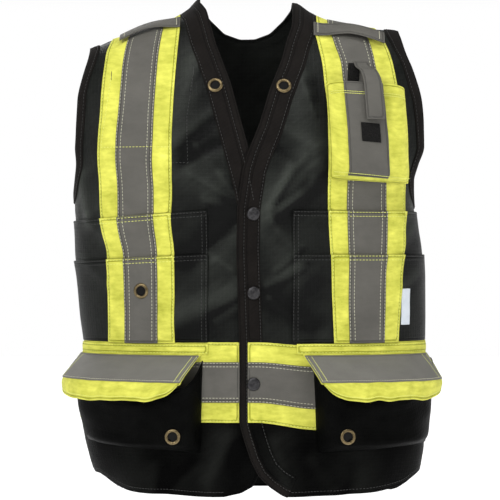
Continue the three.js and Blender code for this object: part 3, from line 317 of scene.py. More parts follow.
def body_form(face, around, high):
    """Points of the bare form; past a side or the shoulder line they go on to the other face."""
    turned = np.abs(around) > ARC
    a = np.where(turned, np.sign(around) * (2 * ARC - np.abs(around)), around)
    top = top_at(a)
    crossed = high > top
    s = np.where(crossed, 2 * top - high, high)
    sign = face * np.where(turned, -1, 1) * np.where(crossed, -1, 1)
    start = top - SHOULDER_ARC
    lean = np.clip((s - start) / SHOULDER_ARC, 0, 1) * math.pi / 2
    z = np.where(s <= start, s, start + SHOULDER_ROUND * np.sin(lean))
    turn = np.interp(np.abs(a), AROUND, TURNS)
    rise = rise_of(z)
    x = np.sign(a) * px(by_side(HALF, a, rise)) * np.sin(turn) ** (2 / SQUARENESS)
    depth = np.where(sign < 0, FRONT_DEPTH * DEPTH[-1](rise), BACK_DEPTH * DEPTH[1](rise))
    y = sign * depth * np.cos(turn) ** (2 / SQUARENESS) * np.cos(lean)
    return np.stack([x, y, z], -1)


def unit(v):
    return v / np.maximum(np.linalg.norm(v, axis=-1, keepdims=True), 1e-9)


def hash_of(i, j, seed):
    value = np.sin(i * 127.1 + j * 311.7 + seed * 74.7) * 43758.5453
    return value - np.floor(value)


def rumple(u, v, size, seed=1.0):
    """Soft uneven waves from -1 to 1, the same on every run."""
    gu, gv = u / size, v / size
    iu, iv = np.floor(gu), np.floor(gv)
    fu, fv = smooth(gu - iu), smooth(gv - iv)
    low = hash_of(iu, iv, seed) * (1 - fu) + hash_of(iu + 1, iv, seed) * fu
    high = hash_of(iu, iv + 1, seed) * (1 - fu) + hash_of(iu + 1, iv + 1, seed) * fu
    return 2 * (low * (1 - fv) + high * fv) - 1


def ridges(table, x, z):
    lift = np.zeros_like(x)
    for x0, r0, x1, r1, spread, height in table:
        ax, az, bx, bz = px(x0), pz(r0), px(x1), pz(r1)
        dx, dz = bx - ax, bz - az
        along = ((x - ax) * dx + (z - az) * dz) / (dx * dx + dz * dz)
        near = np.clip(along, 0, 1)
        far = ((x - ax - dx * near) ** 2 + (z - az - dz * near) ** 2) / spread ** 2
        lift += height * np.exp(-far)
    return lift


def painted_fold_sheen(face, around, high):
    """Painted highlight of the folds, put into the black cloth's colour: most where a fold faces the light
    on the upper right side of the wearer.
    """
    def height(x, z):
        return 1.9 * ridges(FOLDS, x, z) + 1.7 * ridges(CREASES, x, z)
    spot = body_form(face, around, high)
    x, z = spot[..., 0], spot[..., 2]
    here = height(x, z)
    return (0.19 * (here - height(x - 5, z + 5)) + 0.045 * here) * (face < 0)


def lap_at(x):
    return (CLOTH + GAP) * (1 - smooth((x - LAP_FROM) / LAP_FADE))


def cloth_at(face, around, high, height, lapped=False, relief=True):
    """Places on the worn cloth, lifted by a height, with the outward direction there."""
    here = body_form(face, around, high)
    across = body_form(face, around + 3, high) - body_form(face, around - 3, high)
    up = body_form(face, around, high + 3) - body_form(face, around, high - 3)
    normal = unit(np.cross(across, up)) * -face
    lift = np.zeros_like(here[..., 0]) + height
    x, z = here[..., 0], here[..., 2]
    if relief:
        facing = np.abs(normal[..., 1])
        soft = 1.5 * rumple(around, high, 46, 3) + 0.7 * rumple(around, high, 21, 7)
        if face < 0:
            lift = lift + (1.9 * ridges(FOLDS, x, z) + 1.7 * ridges(CREASES, x, z) + soft) * facing
        else:
            lift = lift + 1.3 * soft
    if lapped:
        lift = lift + lap_at(x)
    return here + normal * lift[..., None], normal


def layer_low(layer):
    return 0.0 if layer == 0 else CLOTH + GAP + (layer - 1) * (TRIM + GAP)


def layer_top(layer):
    return layer_low(layer) + (CLOTH if layer == 0 else TRIM)


# Finishes: shader sums are written as plain expressions on wires


class Wire:
    """One output of a shader node, ready for sums and products."""

    def __init__(self, finish, socket):
        self.finish = finish
        self.socket = socket

    def sum_with(self, operation, first, second=None):
        values = {0: first} if second is None else {0: first, 1: second}
        return self.finish.node("ShaderNodeMath", {"operation": operation}, values)

    def __add__(self, other):
        return self.sum_with("ADD", self, other)

    __radd__ = __add__

    def __mul__(self, other):
        return self.sum_with("MULTIPLY", self, other)

    __rmul__ = __mul__

    def __sub__(self, other):
        return self.sum_with("SUBTRACT", self, other)

    def __rsub__(self, other):
        return self.sum_with("SUBTRACT", other, self)

    def __truediv__(self, other):
        return self.sum_with("DIVIDE", self, other)

    def __rtruediv__(self, other):
        return self.sum_with("DIVIDE", other, self)

    def __pow__(self, other):
        return self.sum_with("POWER", self, other)

    def __neg__(self):
        return self.sum_with("MULTIPLY", self, -1.0)

    def sine(self):
        return self.sum_with("SINE", self)

    def bell(self, middle, width):
        """One at a middle value, falling off to nothing on both sides."""
        off = (self - middle) / width
        return self.sum_with("EXPONENT", -(off * off))

    def held(self):
        return self.sum_with("MAXIMUM", self.sum_with("MINIMUM", self, 1.0), 0.0)


class Finish:
    """A material with its own nodes for colour, gloss and surface relief."""

    def __init__(self, name, slot):
        self.slot = slot
        self.material = bpy.data.materials.new(name)
        self.material.use_nodes = True
        self.tree = self.material.node_tree
        self.tree.nodes.clear()
        self.skin = self.tree.nodes.new("ShaderNodeBsdfPrincipled")
        result = self.tree.nodes.new("ShaderNodeOutputMaterial")
        self.tree.links.new(self.skin.outputs[0], result.inputs[0])

    def node(self, kind, settings=None, values=None, output=0):
        made = self.tree.nodes.new(kind)
        for key, value in (settings or {}).items():
            setattr(made, key, value)
        for key, value in (values or {}).items():
            self.feed(made.inputs[key], value)
        return Wire(self, made.outputs[output])

    def feed(self, socket, value):
        if isinstance(value, Wire):
            self.tree.links.new(value.socket, socket)
        else:
            socket.default_value = value

    def set(self, **values):
        for key, value in values.items():
            self.feed(self.skin.inputs[key.replace("_", " ").title().replace("Ior", "IOR")], value)
        return self

    def lay(self):
        """Place on the flat cloth in millimetres."""
        return self.node("ShaderNodeAttribute", {"attribute_name": "lay"}, output=1)

    def edge(self):
        """Distance from the piece's edge in millimetres."""
        return self.node("ShaderNodeAttribute", {"attribute_name": "edge"}, output=2)

    def painted_sheen(self):
        """How much painted highlight a fold gets here."""
        return self.node("ShaderNodeAttribute", {"attribute_name": "painted_sheen"}, output=2)

    def split(self, vector):
        return [self.node("ShaderNodeSeparateXYZ", None, {0: vector}, k) for k in range(3)]

    def noise(self, vector, size, detail=2.0, rough=0.5):
        values = {"Vector": vector, "Scale": 1.0 / size, "Detail": detail, "Roughness": rough}
        return self.node("ShaderNodeTexNoise", {"noise_dimensions": "3D"}, values)

    def cells(self, vector, size):
        values = {"Vector": vector, "Scale": 1.0 / size}
        return self.node("ShaderNodeTexVoronoi", {"feature": "F1"}, values)

    def blend(self, share, first, second):
        values = {0: share, 6: (*first, 1.0) if isinstance(first, tuple) else first,
                  7: (*second, 1.0) if isinstance(second, tuple) else second}
        return self.node("ShaderNodeMix", {"data_type": "RGBA", "clamp_factor": True}, values, 2)

    def relief(self, height, distance, strength=1.0):
        values = {"Height": height, "Distance": distance, "Strength": strength}
        self.feed(self.skin.inputs["Normal"], self.node("ShaderNodeBump", None, values))
        return self


def black_cloth(name, dark, light, gloss):
    """Black ripstop with a fine twill and a faint grid of thicker yarns; painted shade and painted
    highlights go into its colour.
    """
    f = Finish(name, "black_cloth")
    lay, edge = f.lay(), f.edge()
    u, v, _ = f.split(lay)
    broad = f.noise(lay, 55, 3, 0.6)
    patches = f.noise(lay, 19, 3, 0.6)
    fine = f.noise(lay, 1.6, 3, 0.7)
    twill = ((u + v) * (2 * math.pi / 1.3)).sine()
    grid = (u * (math.pi / 5)).sine() ** 16 + (v * (math.pi / 5)).sine() ** 16
    # Painted shade: the colour darkens along the stitched groove near the piece's edge; the same groove
    # also dents the relief.
    groove_and_shade = edge.bell(3.0, 0.9)
    shade = (broad * 1.2 + patches * 0.5 + fine * 0.4 - 0.6 + grid * 0.12 - groove_and_shade * 0.35).held()
    # Painted highlight: the colour lightens along the folds, broken up by slanted streaks, and the streaks
    # on their own add painted sheen of small creases.
    slanted = f.node("ShaderNodeCombineXYZ", None, {0: (u * 0.8 + v * 0.6) * 0.2, 1: v * 0.8 - u * 0.6})
    sheen_streaks = f.noise(slanted, 7.5, 3, 0.55)
    shade = (shade * 0.3 + f.painted_sheen() * (0.3 + fine * 0.5 + sheen_streaks * 0.9) + (sheen_streaks - 0.5) * 0.22).held()
    f.set(base_color=f.blend(shade, dark, light),
          roughness=(0.34 + broad * 0.18 + fine * 0.06 - grid * 0.03).held())
    f.set(specular_ior_level=gloss, sheen_weight=gloss * 0.15, sheen_roughness=0.30)
    f.skin.inputs["Sheen Tint"].default_value = (0.62, 0.70, 0.66, 1.0)
    rumples = f.noise(lay, 9, 4, 0.55)
    return f.relief(twill * 0.05 + grid * 0.10 + fine * 0.16 + rumples * 0.5 - groove_and_shade * 0.7, 0.0012)


def binding_cloth():
    """Ribbed binding tape, a warmer black."""
    f = Finish("black_binding", "binding")
    lay, edge = f.lay(), f.edge()
    u, v, _ = f.split(lay)
    broad = f.noise(lay, 24, 3, 0.6)
    fine = f.noise(lay, 1.3, 3, 0.7)
    ribs = ((v + u * 0.25) * (2 * math.pi / 1.7)).sine()
    # Painted shade: the colour darkens along the stitched groove near the edge; the same groove also dents
    # the relief.
    groove_and_shade = edge.bell(1.9, 0.7)
    shade = (broad * 0.7 + fine * 0.5 - 0.1 + ribs * 0.08 - groove_and_shade * 0.3).held()
    f.set(base_color=f.blend(shade, (0.0022, 0.0019, 0.0018), (0.0112, 0.0094, 0.0082)),
          roughness=(0.74 + fine * 0.18).held())
    f.set(specular_ior_level=0.06, sheen_weight=0.01, sheen_roughness=0.45)
    return f.relief(ribs * 0.16 + fine * 0.22 + broad * 0.6 - groove_and_shade * 0.8, 0.0010)


def lime_cloth():
    """Fluorescent lime cloth with a fine cross weave and sewing puckers, whose light and shade are painted
    into its colour.
    """
    f = Finish("lime_cloth", "lime_cloth")
    lay, edge = f.lay(), f.edge()
    u, v, _ = f.split(lay)
    broad = f.noise(lay, 32, 3, 0.6)
    fine = f.noise(lay, 1.1, 3, 0.7)
    weave = (u * (2 * math.pi / 1.0)).sine() * (v * (2 * math.pi / 1.2)).sine()
    stretched = f.node("ShaderNodeVectorMath", {"operation": "MULTIPLY"}, {0: lay, 1: (0.35, 1.0, 1.0)})
    puckers_with_shade = f.noise(stretched, 5.5, 3, 0.6)
    # Painted light and shade: the pucker noise lightens and darkens the colour as the puckers' light and
    # shade, besides denting the relief; the colour also darkens as painted shade along the stitched groove
    # near the edge.
    groove_and_shade = edge.bell(2.6, 0.8)
    shade = (broad * 1.2 + fine * 0.3 + puckers_with_shade * 0.75 - 0.62 - groove_and_shade * 0.5).held()
    f.set(base_color=f.blend(shade, (0.245, 0.258, 0.015), (0.715, 0.700, 0.118)),
          roughness=(0.60 + fine * 0.25).held())
    f.set(specular_ior_level=0.18, sheen_weight=0.06, sheen_roughness=0.5)
    f.skin.inputs["Sheen Tint"].default_value = (1.0, 1.0, 0.5, 1.0)
    return f.relief(weave * 0.06 + fine * 0.12 + puckers_with_shade * 0.9 - groove_and_shade * 0.8, 0.0011)


def silver_cloth(name, dark, light):
    """Silver reflective tape: warm grey cloth set with tiny beads."""
    f = Finish(name, "silver_tape")
    lay, edge = f.lay(), f.edge()
    u, v, _ = f.split(lay)
    broad = f.noise(lay, 40, 3, 0.6)
    beads = f.cells(lay, 0.55)
    fine = f.noise(lay, 0.9, 2, 0.7)
    weave = (u * (2 * math.pi / 0.9)).sine() + (v * (2 * math.pi / 0.9)).sine()
    creases = f.noise(f.node("ShaderNodeVectorMath", {"operation": "MULTIPLY"},
                             {0: lay, 1: (0.4, 1.0, 1.0)}), 11, 4, 0.6)
    # Painted shade: the colour darkens along the stitched groove near the tape's edge; the same groove also
    # dents the relief.
    groove_and_shade = edge.bell(2.2, 0.7)
    shade = (broad * 0.7 + fine * 0.35 + creases * 0.3 - 0.15 - groove_and_shade * 0.4).held()
    f.set(base_color=f.blend(shade, dark, light),
          roughness=(0.50 + beads * 0.16 + fine * 0.10).held(),
          metallic=(0.12 + fine * 0.10).held())
    f.set(specular_ior_level=0.25)
    return f.relief(weave * 0.03 + beads * 0.14 + creases * 0.7 - groove_and_shade * 0.7, 0.0010)


def metal(name, slot, dark, light, rough):
    """Worn metal with soft tarnish."""
    f = Finish(name, slot)
    lay = f.node("ShaderNodeTexCoord", None, None, 3)
    broad = f.noise(lay, 0.004, 4, 0.65)
    fine = f.noise(lay, 0.0007, 3, 0.7)
    shade = (broad * 1.4 - 0.35 + fine * 0.25).held()
    f.set(base_color=f.blend(shade, dark, light), roughness=(rough + broad * 0.25 - 0.08).held(),
          metallic=(1.05 - shade * 0.10).held())
    return f.relief(fine * 0.5 + broad * 0.3, 0.00016)


def label_cloth():
    """Blank woven label, light grey satin."""
    f = Finish("label_cloth", "label_cloth")
    lay = f.lay()
    u, v, _ = f.split(lay)
    fine = f.noise(lay, 0.8, 3, 0.7)
    broad = f.noise(lay, 12, 2, 0.5)
    weave = (u * (2 * math.pi / 0.8)).sine() * (v * (2 * math.pi / 0.5)).sine()
    f.set(base_color=f.blend((fine * 0.6 + broad * 0.5).held(), (0.42, 0.47, 0.53), (0.66, 0.70, 0.74)),
          roughness=(0.48 + fine * 0.2).held())
    return f.relief(weave * 0.2 + fine * 0.3, 0.0005)


def hook_cloth():
    """Hook tape: short stiff black loops."""
    f = Finish("hook_tape", "hook_tape")
    lay = f.lay()
    loops = f.cells(lay, 1.1)
    fine = f.noise(lay, 0.7, 3, 0.7)
    shade = (loops * 0.9 + fine * 0.3).held()
    f.set(base_color=f.blend(shade, (0.0025, 0.0025, 0.0025), (0.012, 0.0115, 0.011)),
          roughness=(0.72 + fine * 0.2).held())
    f.set(specular_ior_level=0.05)
    return f.relief(fine * 0.6 - loops * 0.9, 0.0009)


def thread(name, slot, dark, light):
    """Twisted sewing thread."""
    f = Finish(name, slot)
    place = f.node("ShaderNodeTexCoord", None, None, 3)
    fine = f.noise(place, 0.0006, 2, 0.6)
    broad = f.noise(place, 0.02, 2, 0.6)
    f.set(base_color=f.blend((fine * 0.6 + broad * 0.5).held(), dark, light),
          roughness=(0.55 + fine * 0.2).held())
    return f.relief(fine, 0.0002)


BLACK = black_cloth("black_ripstop", (0.0012, 0.0014, 0.0012), (0.0300, 0.0335, 0.0285), 0.08)
# A darker, less glossy copy of the black ripstop: painted shade for the lower part of the vest, which sits
# in shade; the hem facing and the pouches take it too.
SHADED_BLACK = black_cloth("shaded_ripstop", (0.0004, 0.0004, 0.0004), (0.0070, 0.0074, 0.0066), 0.02)
BINDING = binding_cloth()
LIME = lime_cloth()
SILVER = silver_cloth("silver_tape", (0.042, 0.040, 0.035), (0.112, 0.107, 0.094))
# A lighter copy of the silver tape for the pouch flaps: painted light, where the flaps face up towards the
# lamps.
LIT_FLAP_SILVER = silver_cloth("lit_flap_silver_tape", (0.078, 0.075, 0.067), (0.160, 0.155, 0.139))
BRASS = metal("antique_brass", "eyelet_brass", (0.035, 0.026, 0.013), (0.25, 0.19, 0.10), 0.34)
GUNMETAL = metal("dark_snap_metal", "snap_metal", (0.008, 0.008, 0.009), (0.075, 0.073, 0.075), 0.36)
LABEL = label_cloth()
HOOK = hook_cloth()
THREADS = {
    "lime": thread("lime_thread", "lime_cloth", (0.42, 0.46, 0.06), (0.72, 0.74, 0.20)),
    "pale": thread("pale_thread", "silver_tape", (0.34, 0.33, 0.24), (0.52, 0.51, 0.38)),
    "black": thread("black_thread", "binding", (0.007, 0.007, 0.007), (0.024, 0.024, 0.022)),
}

# Pieces


PIECES = {}


def add_piece(name, points, faces, finish, nodes, lay=None, edge=None, painted_sheen=None):
    mesh = bpy.data.meshes.new(name)
    mesh.from_pydata((np.asarray(points) / 1000.0).tolist(), [], faces)
    mesh.validate()
    mesh.polygons.foreach_set("use_smooth", [True] * len(mesh.polygons))
    if lay is not None:
        flat = np.zeros((len(points), 3), np.float32)
        flat[:, : lay.shape[1]] = lay
        mesh.attributes.new("lay", "FLOAT_VECTOR", "POINT").data.foreach_set("vector", flat.ravel())
    if edge is None:
        edge = np.full(len(points), 30.0)
    mesh.attributes.new("edge", "FLOAT", "POINT").data.foreach_set("value", np.asarray(edge, np.float32))
    if painted_sheen is not None:
        shine = mesh.attributes.new("painted_sheen", "FLOAT", "POINT")
        shine.data.foreach_set("value", np.asarray(painted_sheen, np.float32))
    mesh.materials.append(finish.material)
    piece = bpy.data.objects.new(name, mesh)
    scene.collection.objects.link(piece)
    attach(piece, "root")
    if nodes:
        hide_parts(*nodes)
    PIECES[name] = (piece, finish.slot)
    return piece


def stepped(points, step):
    """The same line with points no further apart than a step."""
    points = np.asarray(points, float)
    out = []
    for a, b in zip(points, np.roll(points, -1, axis=0)):
        count = max(1, int(math.ceil(np.linalg.norm(b - a) / step)))
        out.append(a + (b - a) * np.arange(count)[:, None] / count)
    line = np.concatenate(out)
    keep = np.linalg.norm(line - np.roll(line, 1, axis=0), axis=1) > 0.05
    return line[keep]


def open_steps(points, step):
    points = np.asarray(points, float)
    out = []
    for a, b in zip(points[:-1], points[1:]):
        count = max(1, int(math.ceil(np.linalg.norm(b - a) / step)))
        out.append(a + (b - a) * np.arange(count)[:, None] / count)
    return np.concatenate([*out, points[-1:]])


def inside(points, ring):
    x, y = points[:, 0][:, None], points[:, 1][:, None]
    a, b = ring, np.roll(ring, -1, axis=0)
    crosses = (a[:, 1] > y) != (b[:, 1] > y)
    where = (b[:, 0] - a[:, 0]) * (y - a[:, 1]) / (b[:, 1] - a[:, 1] + 1e-12) + a[:, 0]
    return (np.sum(crosses & (x < where), axis=1) % 2) == 1


def from_edge(points, ring):
    a, b = ring, np.roll(ring, -1, axis=0)
    d = b - a
    length = np.maximum((d ** 2).sum(1), 1e-9)
    best = np.full(len(points), 1e9)
    for start in range(0, len(points), 4000):
        part = points[start:start + 4000]
        t = np.clip(((part[:, None] - a) * d).sum(2) / length, 0, 1)
        gap = part[:, None] - a - t[..., None] * d
        best[start:start + 4000] = np.sqrt((gap ** 2).sum(2).min(1))
    return best


def cut_cloth(name, face, ring, low, thick, finish, nodes, lapped=False, spacing=4.0, lift=None,
              lined=False, roll=0.35, foot=0.7, crown=0.0):
    """A cut of cloth laid on the worn form: its flat ring is (round the body, up the cloth)."""
    ring = stepped(ring, spacing * 0.8)
    area = 0.5 * np.sum(ring[:, 0] * np.roll(ring[:, 1], -1) - np.roll(ring[:, 0], -1) * ring[:, 1])
    if area < 0:
        ring = ring[::-1].copy()
    box_low, box_high = ring.min(0), ring.max(0)
    us = np.arange(box_low[0], box_high[0] + spacing, spacing)
    vs = np.arange(box_low[1], box_high[1] + spacing, spacing)
    grid = np.stack(np.meshgrid(us, vs), -1).reshape(-1, 2)
    grid = grid[inside(grid, ring)]
    if len(grid):
        grid = grid[from_edge(grid, ring) > spacing * 0.55]
    flat = np.concatenate([ring, grid])
    made = geometry.delaunay_2d_cdt(
        [Vector(p) for p in flat], [], [list(range(len(ring)))], 1, 1e-4)
    flat = np.array([tuple(p) for p in made[0]])
    faces = [tuple(f) for f in made[2]]
    uses = {}
    for f in faces:
        for a, b in zip(f, f[1:] + f[:1]):
            uses[(a, b)] = True
    rim = [(a, b) for a, b in uses if (b, a) not in uses]
    edge = from_edge(flat, ring)
    on_rim = sorted({v for pair in rim for v in pair})
    out = np.zeros_like(flat)
    for a, b in rim:
        d = flat[b] - flat[a]
        n = np.array([d[1], -d[0]]) / max(np.hypot(*d), 1e-9)
        out[a] += n
        out[b] += n
    out = unit(out)
    height = low + thick + crown * (1 - np.exp(-edge / 5.0))
    if lift is not None:
        height = height + lift(flat[:, 0], flat[:, 1], edge)
    base = height - thick
    top, _ = cloth_at(face, flat[:, 0], flat[:, 1], height, lapped)
    points = [top]
    lays = [flat]
    edges = [edge]
    count = len(flat)
    index = {v: i for i, v in enumerate(on_rim)}
    around = flat[on_rim]
    side, _ = cloth_at(face, *(around + out[on_rim] * roll).T, (base + thick * 0.5)[on_rim], lapped)
    foot_at, _ = cloth_at(face, *(around + out[on_rim] * roll * 0.6).T, base[on_rim] - foot, lapped)
    points += [side, foot_at]
    lays += [around + out[on_rim] * 0.6, around + out[on_rim] * 1.2]
    edges += [np.zeros(len(on_rim))] * 2
    polys = [f if face < 0 else f[::-1] for f in faces]
    rings = [lambda v: v, lambda v: count + index[v], lambda v: count + len(on_rim) + index[v]]
    for upper, lower in zip(rings[:-1], rings[1:]):
        for a, b in rim:
            quad = (upper(a), lower(a), lower(b), upper(b))
            polys.append(quad if face < 0 else quad[::-1])
    if lined:
        inner, _ = cloth_at(face, flat[:, 0], flat[:, 1], base, lapped)
        start = count + 2 * len(on_rim)
        points.append(inner)
        lays.append(flat)
        edges.append(edge)
        polys += [tuple(start + v for v in (f[::-1] if face < 0 else f)) for f in faces]
        for a, b in rim:
            quad = (rings[2](a), start + a, start + b, rings[2](b))
            polys.append(quad if face < 0 else quad[::-1])
    piece = add_piece(name, np.concatenate(points), polys, finish, nodes,
                      np.concatenate(lays), np.concatenate(edges),
                      painted_fold_sheen(face, *np.concatenate(lays).T))
    return piece


def seen(points):
    """Cloth places for a line of front view places."""
    points = np.asarray(points, float)
    return np.stack(to_cloth(points[:, 0], points[:, 1]), -1)


def seen_steps(points, step=3.0):
    return seen(open_steps(points, step))


# Armhole edges, solved on the form


def arm_edge(name, face, grow, count=60):
    top_x, top_rise, low_x, low_rise, front, back = ARMHOLES[name]
    sine, cosine = math.sin(ARM_TILT), math.cos(ARM_TILT)
    top = -px(top_x) * sine + pz(top_rise) * cosine + grow
    low = -px(low_x) * sine + pz(low_rise) * cosine - grow
    turn = np.linspace(0, math.pi, count)
    reach = (front * FRONT_DEPTH if face < 0 else back * BACK_DEPTH) + grow
    want_w = (top + low) / 2 + (top - low) / 2 * np.cos(turn)
    want_y = reach * np.sin(turn) ** 0.85 * (1 - 0.10 * np.cos(turn))
    side = SIDE[name]

    def climb(around):
        lo, hi = np.full(count, -420.0), top_at(side * around)
        for _ in range(32):
            mid = (lo + hi) / 2
            p = body_form(face, side * around, mid)
            under = -np.abs(p[:, 0]) * sine + p[:, 2] * cosine < want_w
            lo, hi = np.where(under, mid, lo), np.where(under, hi, mid)
        return (lo + hi) / 2

    near, far = np.full(count, 60.0), np.full(count, ARC)
    for _ in range(32):
        mid = (near + far) / 2
        high = climb(mid)
        deep = np.abs(body_form(face, side * mid, high)[:, 1]) > want_y + 0.01
        near, far = np.where(deep, mid, near), np.where(deep, far, mid)
    around = (near + far) / 2
    line = np.stack([side * around, climb(around)], -1)
    line[0, 1] = top_at(line[0, 0])
    line[-1, 0] = side * ARC
    return line


def crest_line(a, b, step=4.0):
    count = max(2, int(abs(b - a) / step))
    around = np.linspace(a, b, count)
    return np.stack([around, top_at(around)], -1)


def neck_line(name):
    rows = NECK[name]
    return np.stack([px(rows[:, 0]), pz(rows[:, 1])], -1)


def neck_x(name, z):
    rows = NECK[name]
    order = np.argsort(rows[:, 1])
    return px(np.interp(rise_of(z), rows[order, 1], rows[order, 0]))


def softened(points, rounds=2):
    """The line with its corners cut, ends kept."""
    points = np.asarray(points, float)
    for _ in range(rounds):
        a, b = points[:-1], points[1:]
        mid = np.stack([a * 0.75 + b * 0.25, a * 0.25 + b * 0.75], 1).reshape(-1, 2)
        points = np.concatenate([points[:1], mid, points[-1:]])
    return points


def beside(points, distance):
    """The line moved sideways; positive is to its left."""
    points = np.asarray(points, float)
    d = unit(np.gradient(points, axis=0))
    return points + np.stack([-d[:, 1], d[:, 0]], -1) * distance


HEM_RISE = {"right": Curve([0, 60, 110, 152, 167, 178, 195], [0, 0, 2.8, 5.6, 9.5, 15, 24]),
            "left": Curve([0, 60, 101, 168, 196, 211, 225], [0, 0, 0.5, 6, 10.5, 19, 28])}


def hem_line(name, lift=0.0):
    """The front hem, from the closure to the side seam, in cloth places."""
    x = SIDE[name] * np.linspace(px(0.14 if name == "right" else 0.20), 250, 60)
    line = seen(np.stack([x, pz(0) + HEM_RISE[name](np.abs(x)) + lift], -1))
    line = line[np.abs(line[:, 0]) < ARC - 0.5]
    return np.concatenate([line, [[SIDE[name] * ARC, line[-1, 1]]]])


NECK_EDGE = {name: softened(open_steps(neck_line(name), 8.0)) for name in NECK}
ARM_EDGE = {(n, f): arm_edge(n, f, 0.0) for n in SIDE for f in (-1, 1)}
ARM_OUT = {(n, f): arm_edge(n, f, ARM_BINDING) for n in SIDE for f in (-1, 1)}


def front_ring(name):
    side = SIDE[name]
    neck = seen(NECK_EDGE[name])
    arm = ARM_EDGE[(name, -1)]
    hem = hem_line(name)
    hem = hem[np.abs(hem[:, 0] - neck[-1, 0]) > 1.0]
    hem = hem[(hem[:, 0] - neck[-1, 0]) * side > 0]
    ridge = crest_line(arm[0, 0], neck[0, 0])
    return np.concatenate([neck, hem, arm[::-1], ridge])


def neck_back(grow):
    x = px(NECK_BACK[:, 0]) + np.sign(NECK_BACK[:, 0]) * grow
    z = pz(1) - NECK_BACK[:, 1] * BACK_NECK_DROP - np.where(NECK_BACK[:, 1] > 0, grow, 0)
    return softened(open_steps(np.stack([x, z], -1), 8.0))


def back_ring():
    across = np.linspace(-ARC, ARC, 60)
    end = {n: hem_line(n)[-1, 1] for n in SIDE}
    at_side = np.where(across < 0, end["right"], end["left"])
    low = pz(-0.012) + (at_side - pz(-0.012)) * smooth((np.abs(across) / ARC - 0.75) / 0.25)
    neck = seen(neck_back(0))
    right, left = ARM_EDGE[("right", 1)], ARM_EDGE[("left", 1)]
    return np.concatenate([
        np.stack([across, low], -1), left[::-1], crest_line(left[0, 0], neck[-1, 0]),
        neck[::-1], crest_line(neck[0, 0], right[0, 0]), right])


front_right = cut_cloth("front_right_cloth", -1, front_ring("right"), 0, CLOTH, BLACK,
                        ["front_panel_right"], lined=True)
front_left = cut_cloth("front_left_cloth", -1, front_ring("left"), 0, CLOTH, BLACK,
                       ["front_panel_left"], lapped=True, lined=True)
back_panel = cut_cloth("back_cloth", 1, back_ring(), 0, CLOTH, BLACK, ["back_panel"],
                       lined=True, spacing=5.0)


# Faces below the waist band's middle take the darker copy of the black: painted shade on the lower part.
for panel in (front_right, front_left, back_panel):
    panel.data.materials.append(SHADED_BLACK.material)
    for face in panel.data.polygons:
        face.material_index = int(face.center.z * 1000 < (BAND_TOP + BAND_LOW) / 2)


def band_between(near, far):
    ring = np.concatenate([near, far[::-1]])
    return seen(ring)


# Neck bands, placket and armhole bindings

bind_low = pz(0.588)
edge_right = NECK_EDGE["right"][NECK_EDGE["right"][:, 1] > bind_low]
limit = neck_x("left", edge_right[:, 1]) - 0.6
for label, near, far, crown in (("neck_binding_right", 0.0, PLACKET_EDGE, 0.7),
                                ("neck_facing_right", PLACKET_EDGE, NECK_BAND, 0.15)):
    a = beside(edge_right, -near - (0.2 if near else -0.6))
    b = beside(edge_right, -far)
    a[:, 0] = np.minimum(a[:, 0], limit)
    b[:, 0] = np.minimum(b[:, 0], limit - 0.3)
    cut_cloth(label, -1, band_between(a, b), layer_low(1), TRIM, BINDING, ["neck_band_right"],
              crown=crown, spacing=3.0, foot=2.0 if near == 0 else 0.7)

edge_left = NECK_EDGE["left"]
a, b = beside(edge_left, -0.6), beside(edge_left, PLACKET_EDGE)
cut_cloth("closure_binding_left", -1, band_between(a, b), layer_low(1), TRIM, BINDING,
          ["neck_band_left"], lapped=True, crown=0.7, spacing=3.0, foot=2.0)
wide = np.interp(edge_left[:, 1], [pz(0.66), pz(0.72)], [PLACKET, NECK_BAND])
for label, keep in (("neck_facing_left", edge_left[:, 1] > BAND_TOP + 1),
                    ("hem_facing_left", edge_left[:, 1] < BAND_LOW - 1)):
    a = beside(edge_left, PLACKET_EDGE + 0.3)[keep]
    b = (edge_left + (beside(edge_left, 1.0) - edge_left) * wide[:, None])[keep]
    b[:, 1] = np.maximum(b[:, 1], pz(0.0))
    # The hem facing takes the darker copy of the black: painted shade.
    cut_cloth(label, -1, band_between(a, b), layer_low(1), TRIM, BINDING if "neck" in label else SHADED_BLACK,
              ["neck_band_left"], lapped=True, crown=0.15, spacing=3.0)

neck_ring = np.concatenate([seen(neck_back(-0.6)), seen(neck_back(PLACKET_EDGE))[::-1]])
cut_cloth("neck_binding_back", 1, neck_ring, layer_low(1), TRIM, BINDING, ["neck_band_back"],
          crown=0.7, spacing=3.0, foot=2.0)
for name in SIDE:
    for face, where in ((-1, "front"), (1, "back")):
        inner = arm_edge(name, face, -0.6)
        ring = np.concatenate([inner, ARM_OUT[(name, face)][::-1]])
        cut_cloth(f"armhole_binding_{name}_{where}_tape", face, ring, layer_low(1), TRIM, BINDING,
                  [f"armhole_binding_{name}_{where}"], crown=0.8, spacing=3.0, foot=2.0)

# Stripes, patch pockets and the waist band


def stripe_edges(name, column, z):
    rows = STRIPES[name]
    k = {"tape": 2, "lime": 3}[column]
    width = TAPE_WIDTH if column == "tape" else LIME_WIDTH
    rise = rise_of(z)
    middle = px(Curve(rows[:, 0], rows[:, 1])(rise))
    half = width / 2 * Curve(rows[:, 0], rows[:, k])(rise)
    return SIDE[name] * (middle - half), SIDE[name] * (middle + half)


def pocket_top(name, height, x):
    share = (np.abs(x) - POCKET_INSET) / (FAR - POCKET_INSET)
    return BAND_TOP + GAP + height * (1 + (POCKET_SIDE[name] - 1) * 1.6 * share)


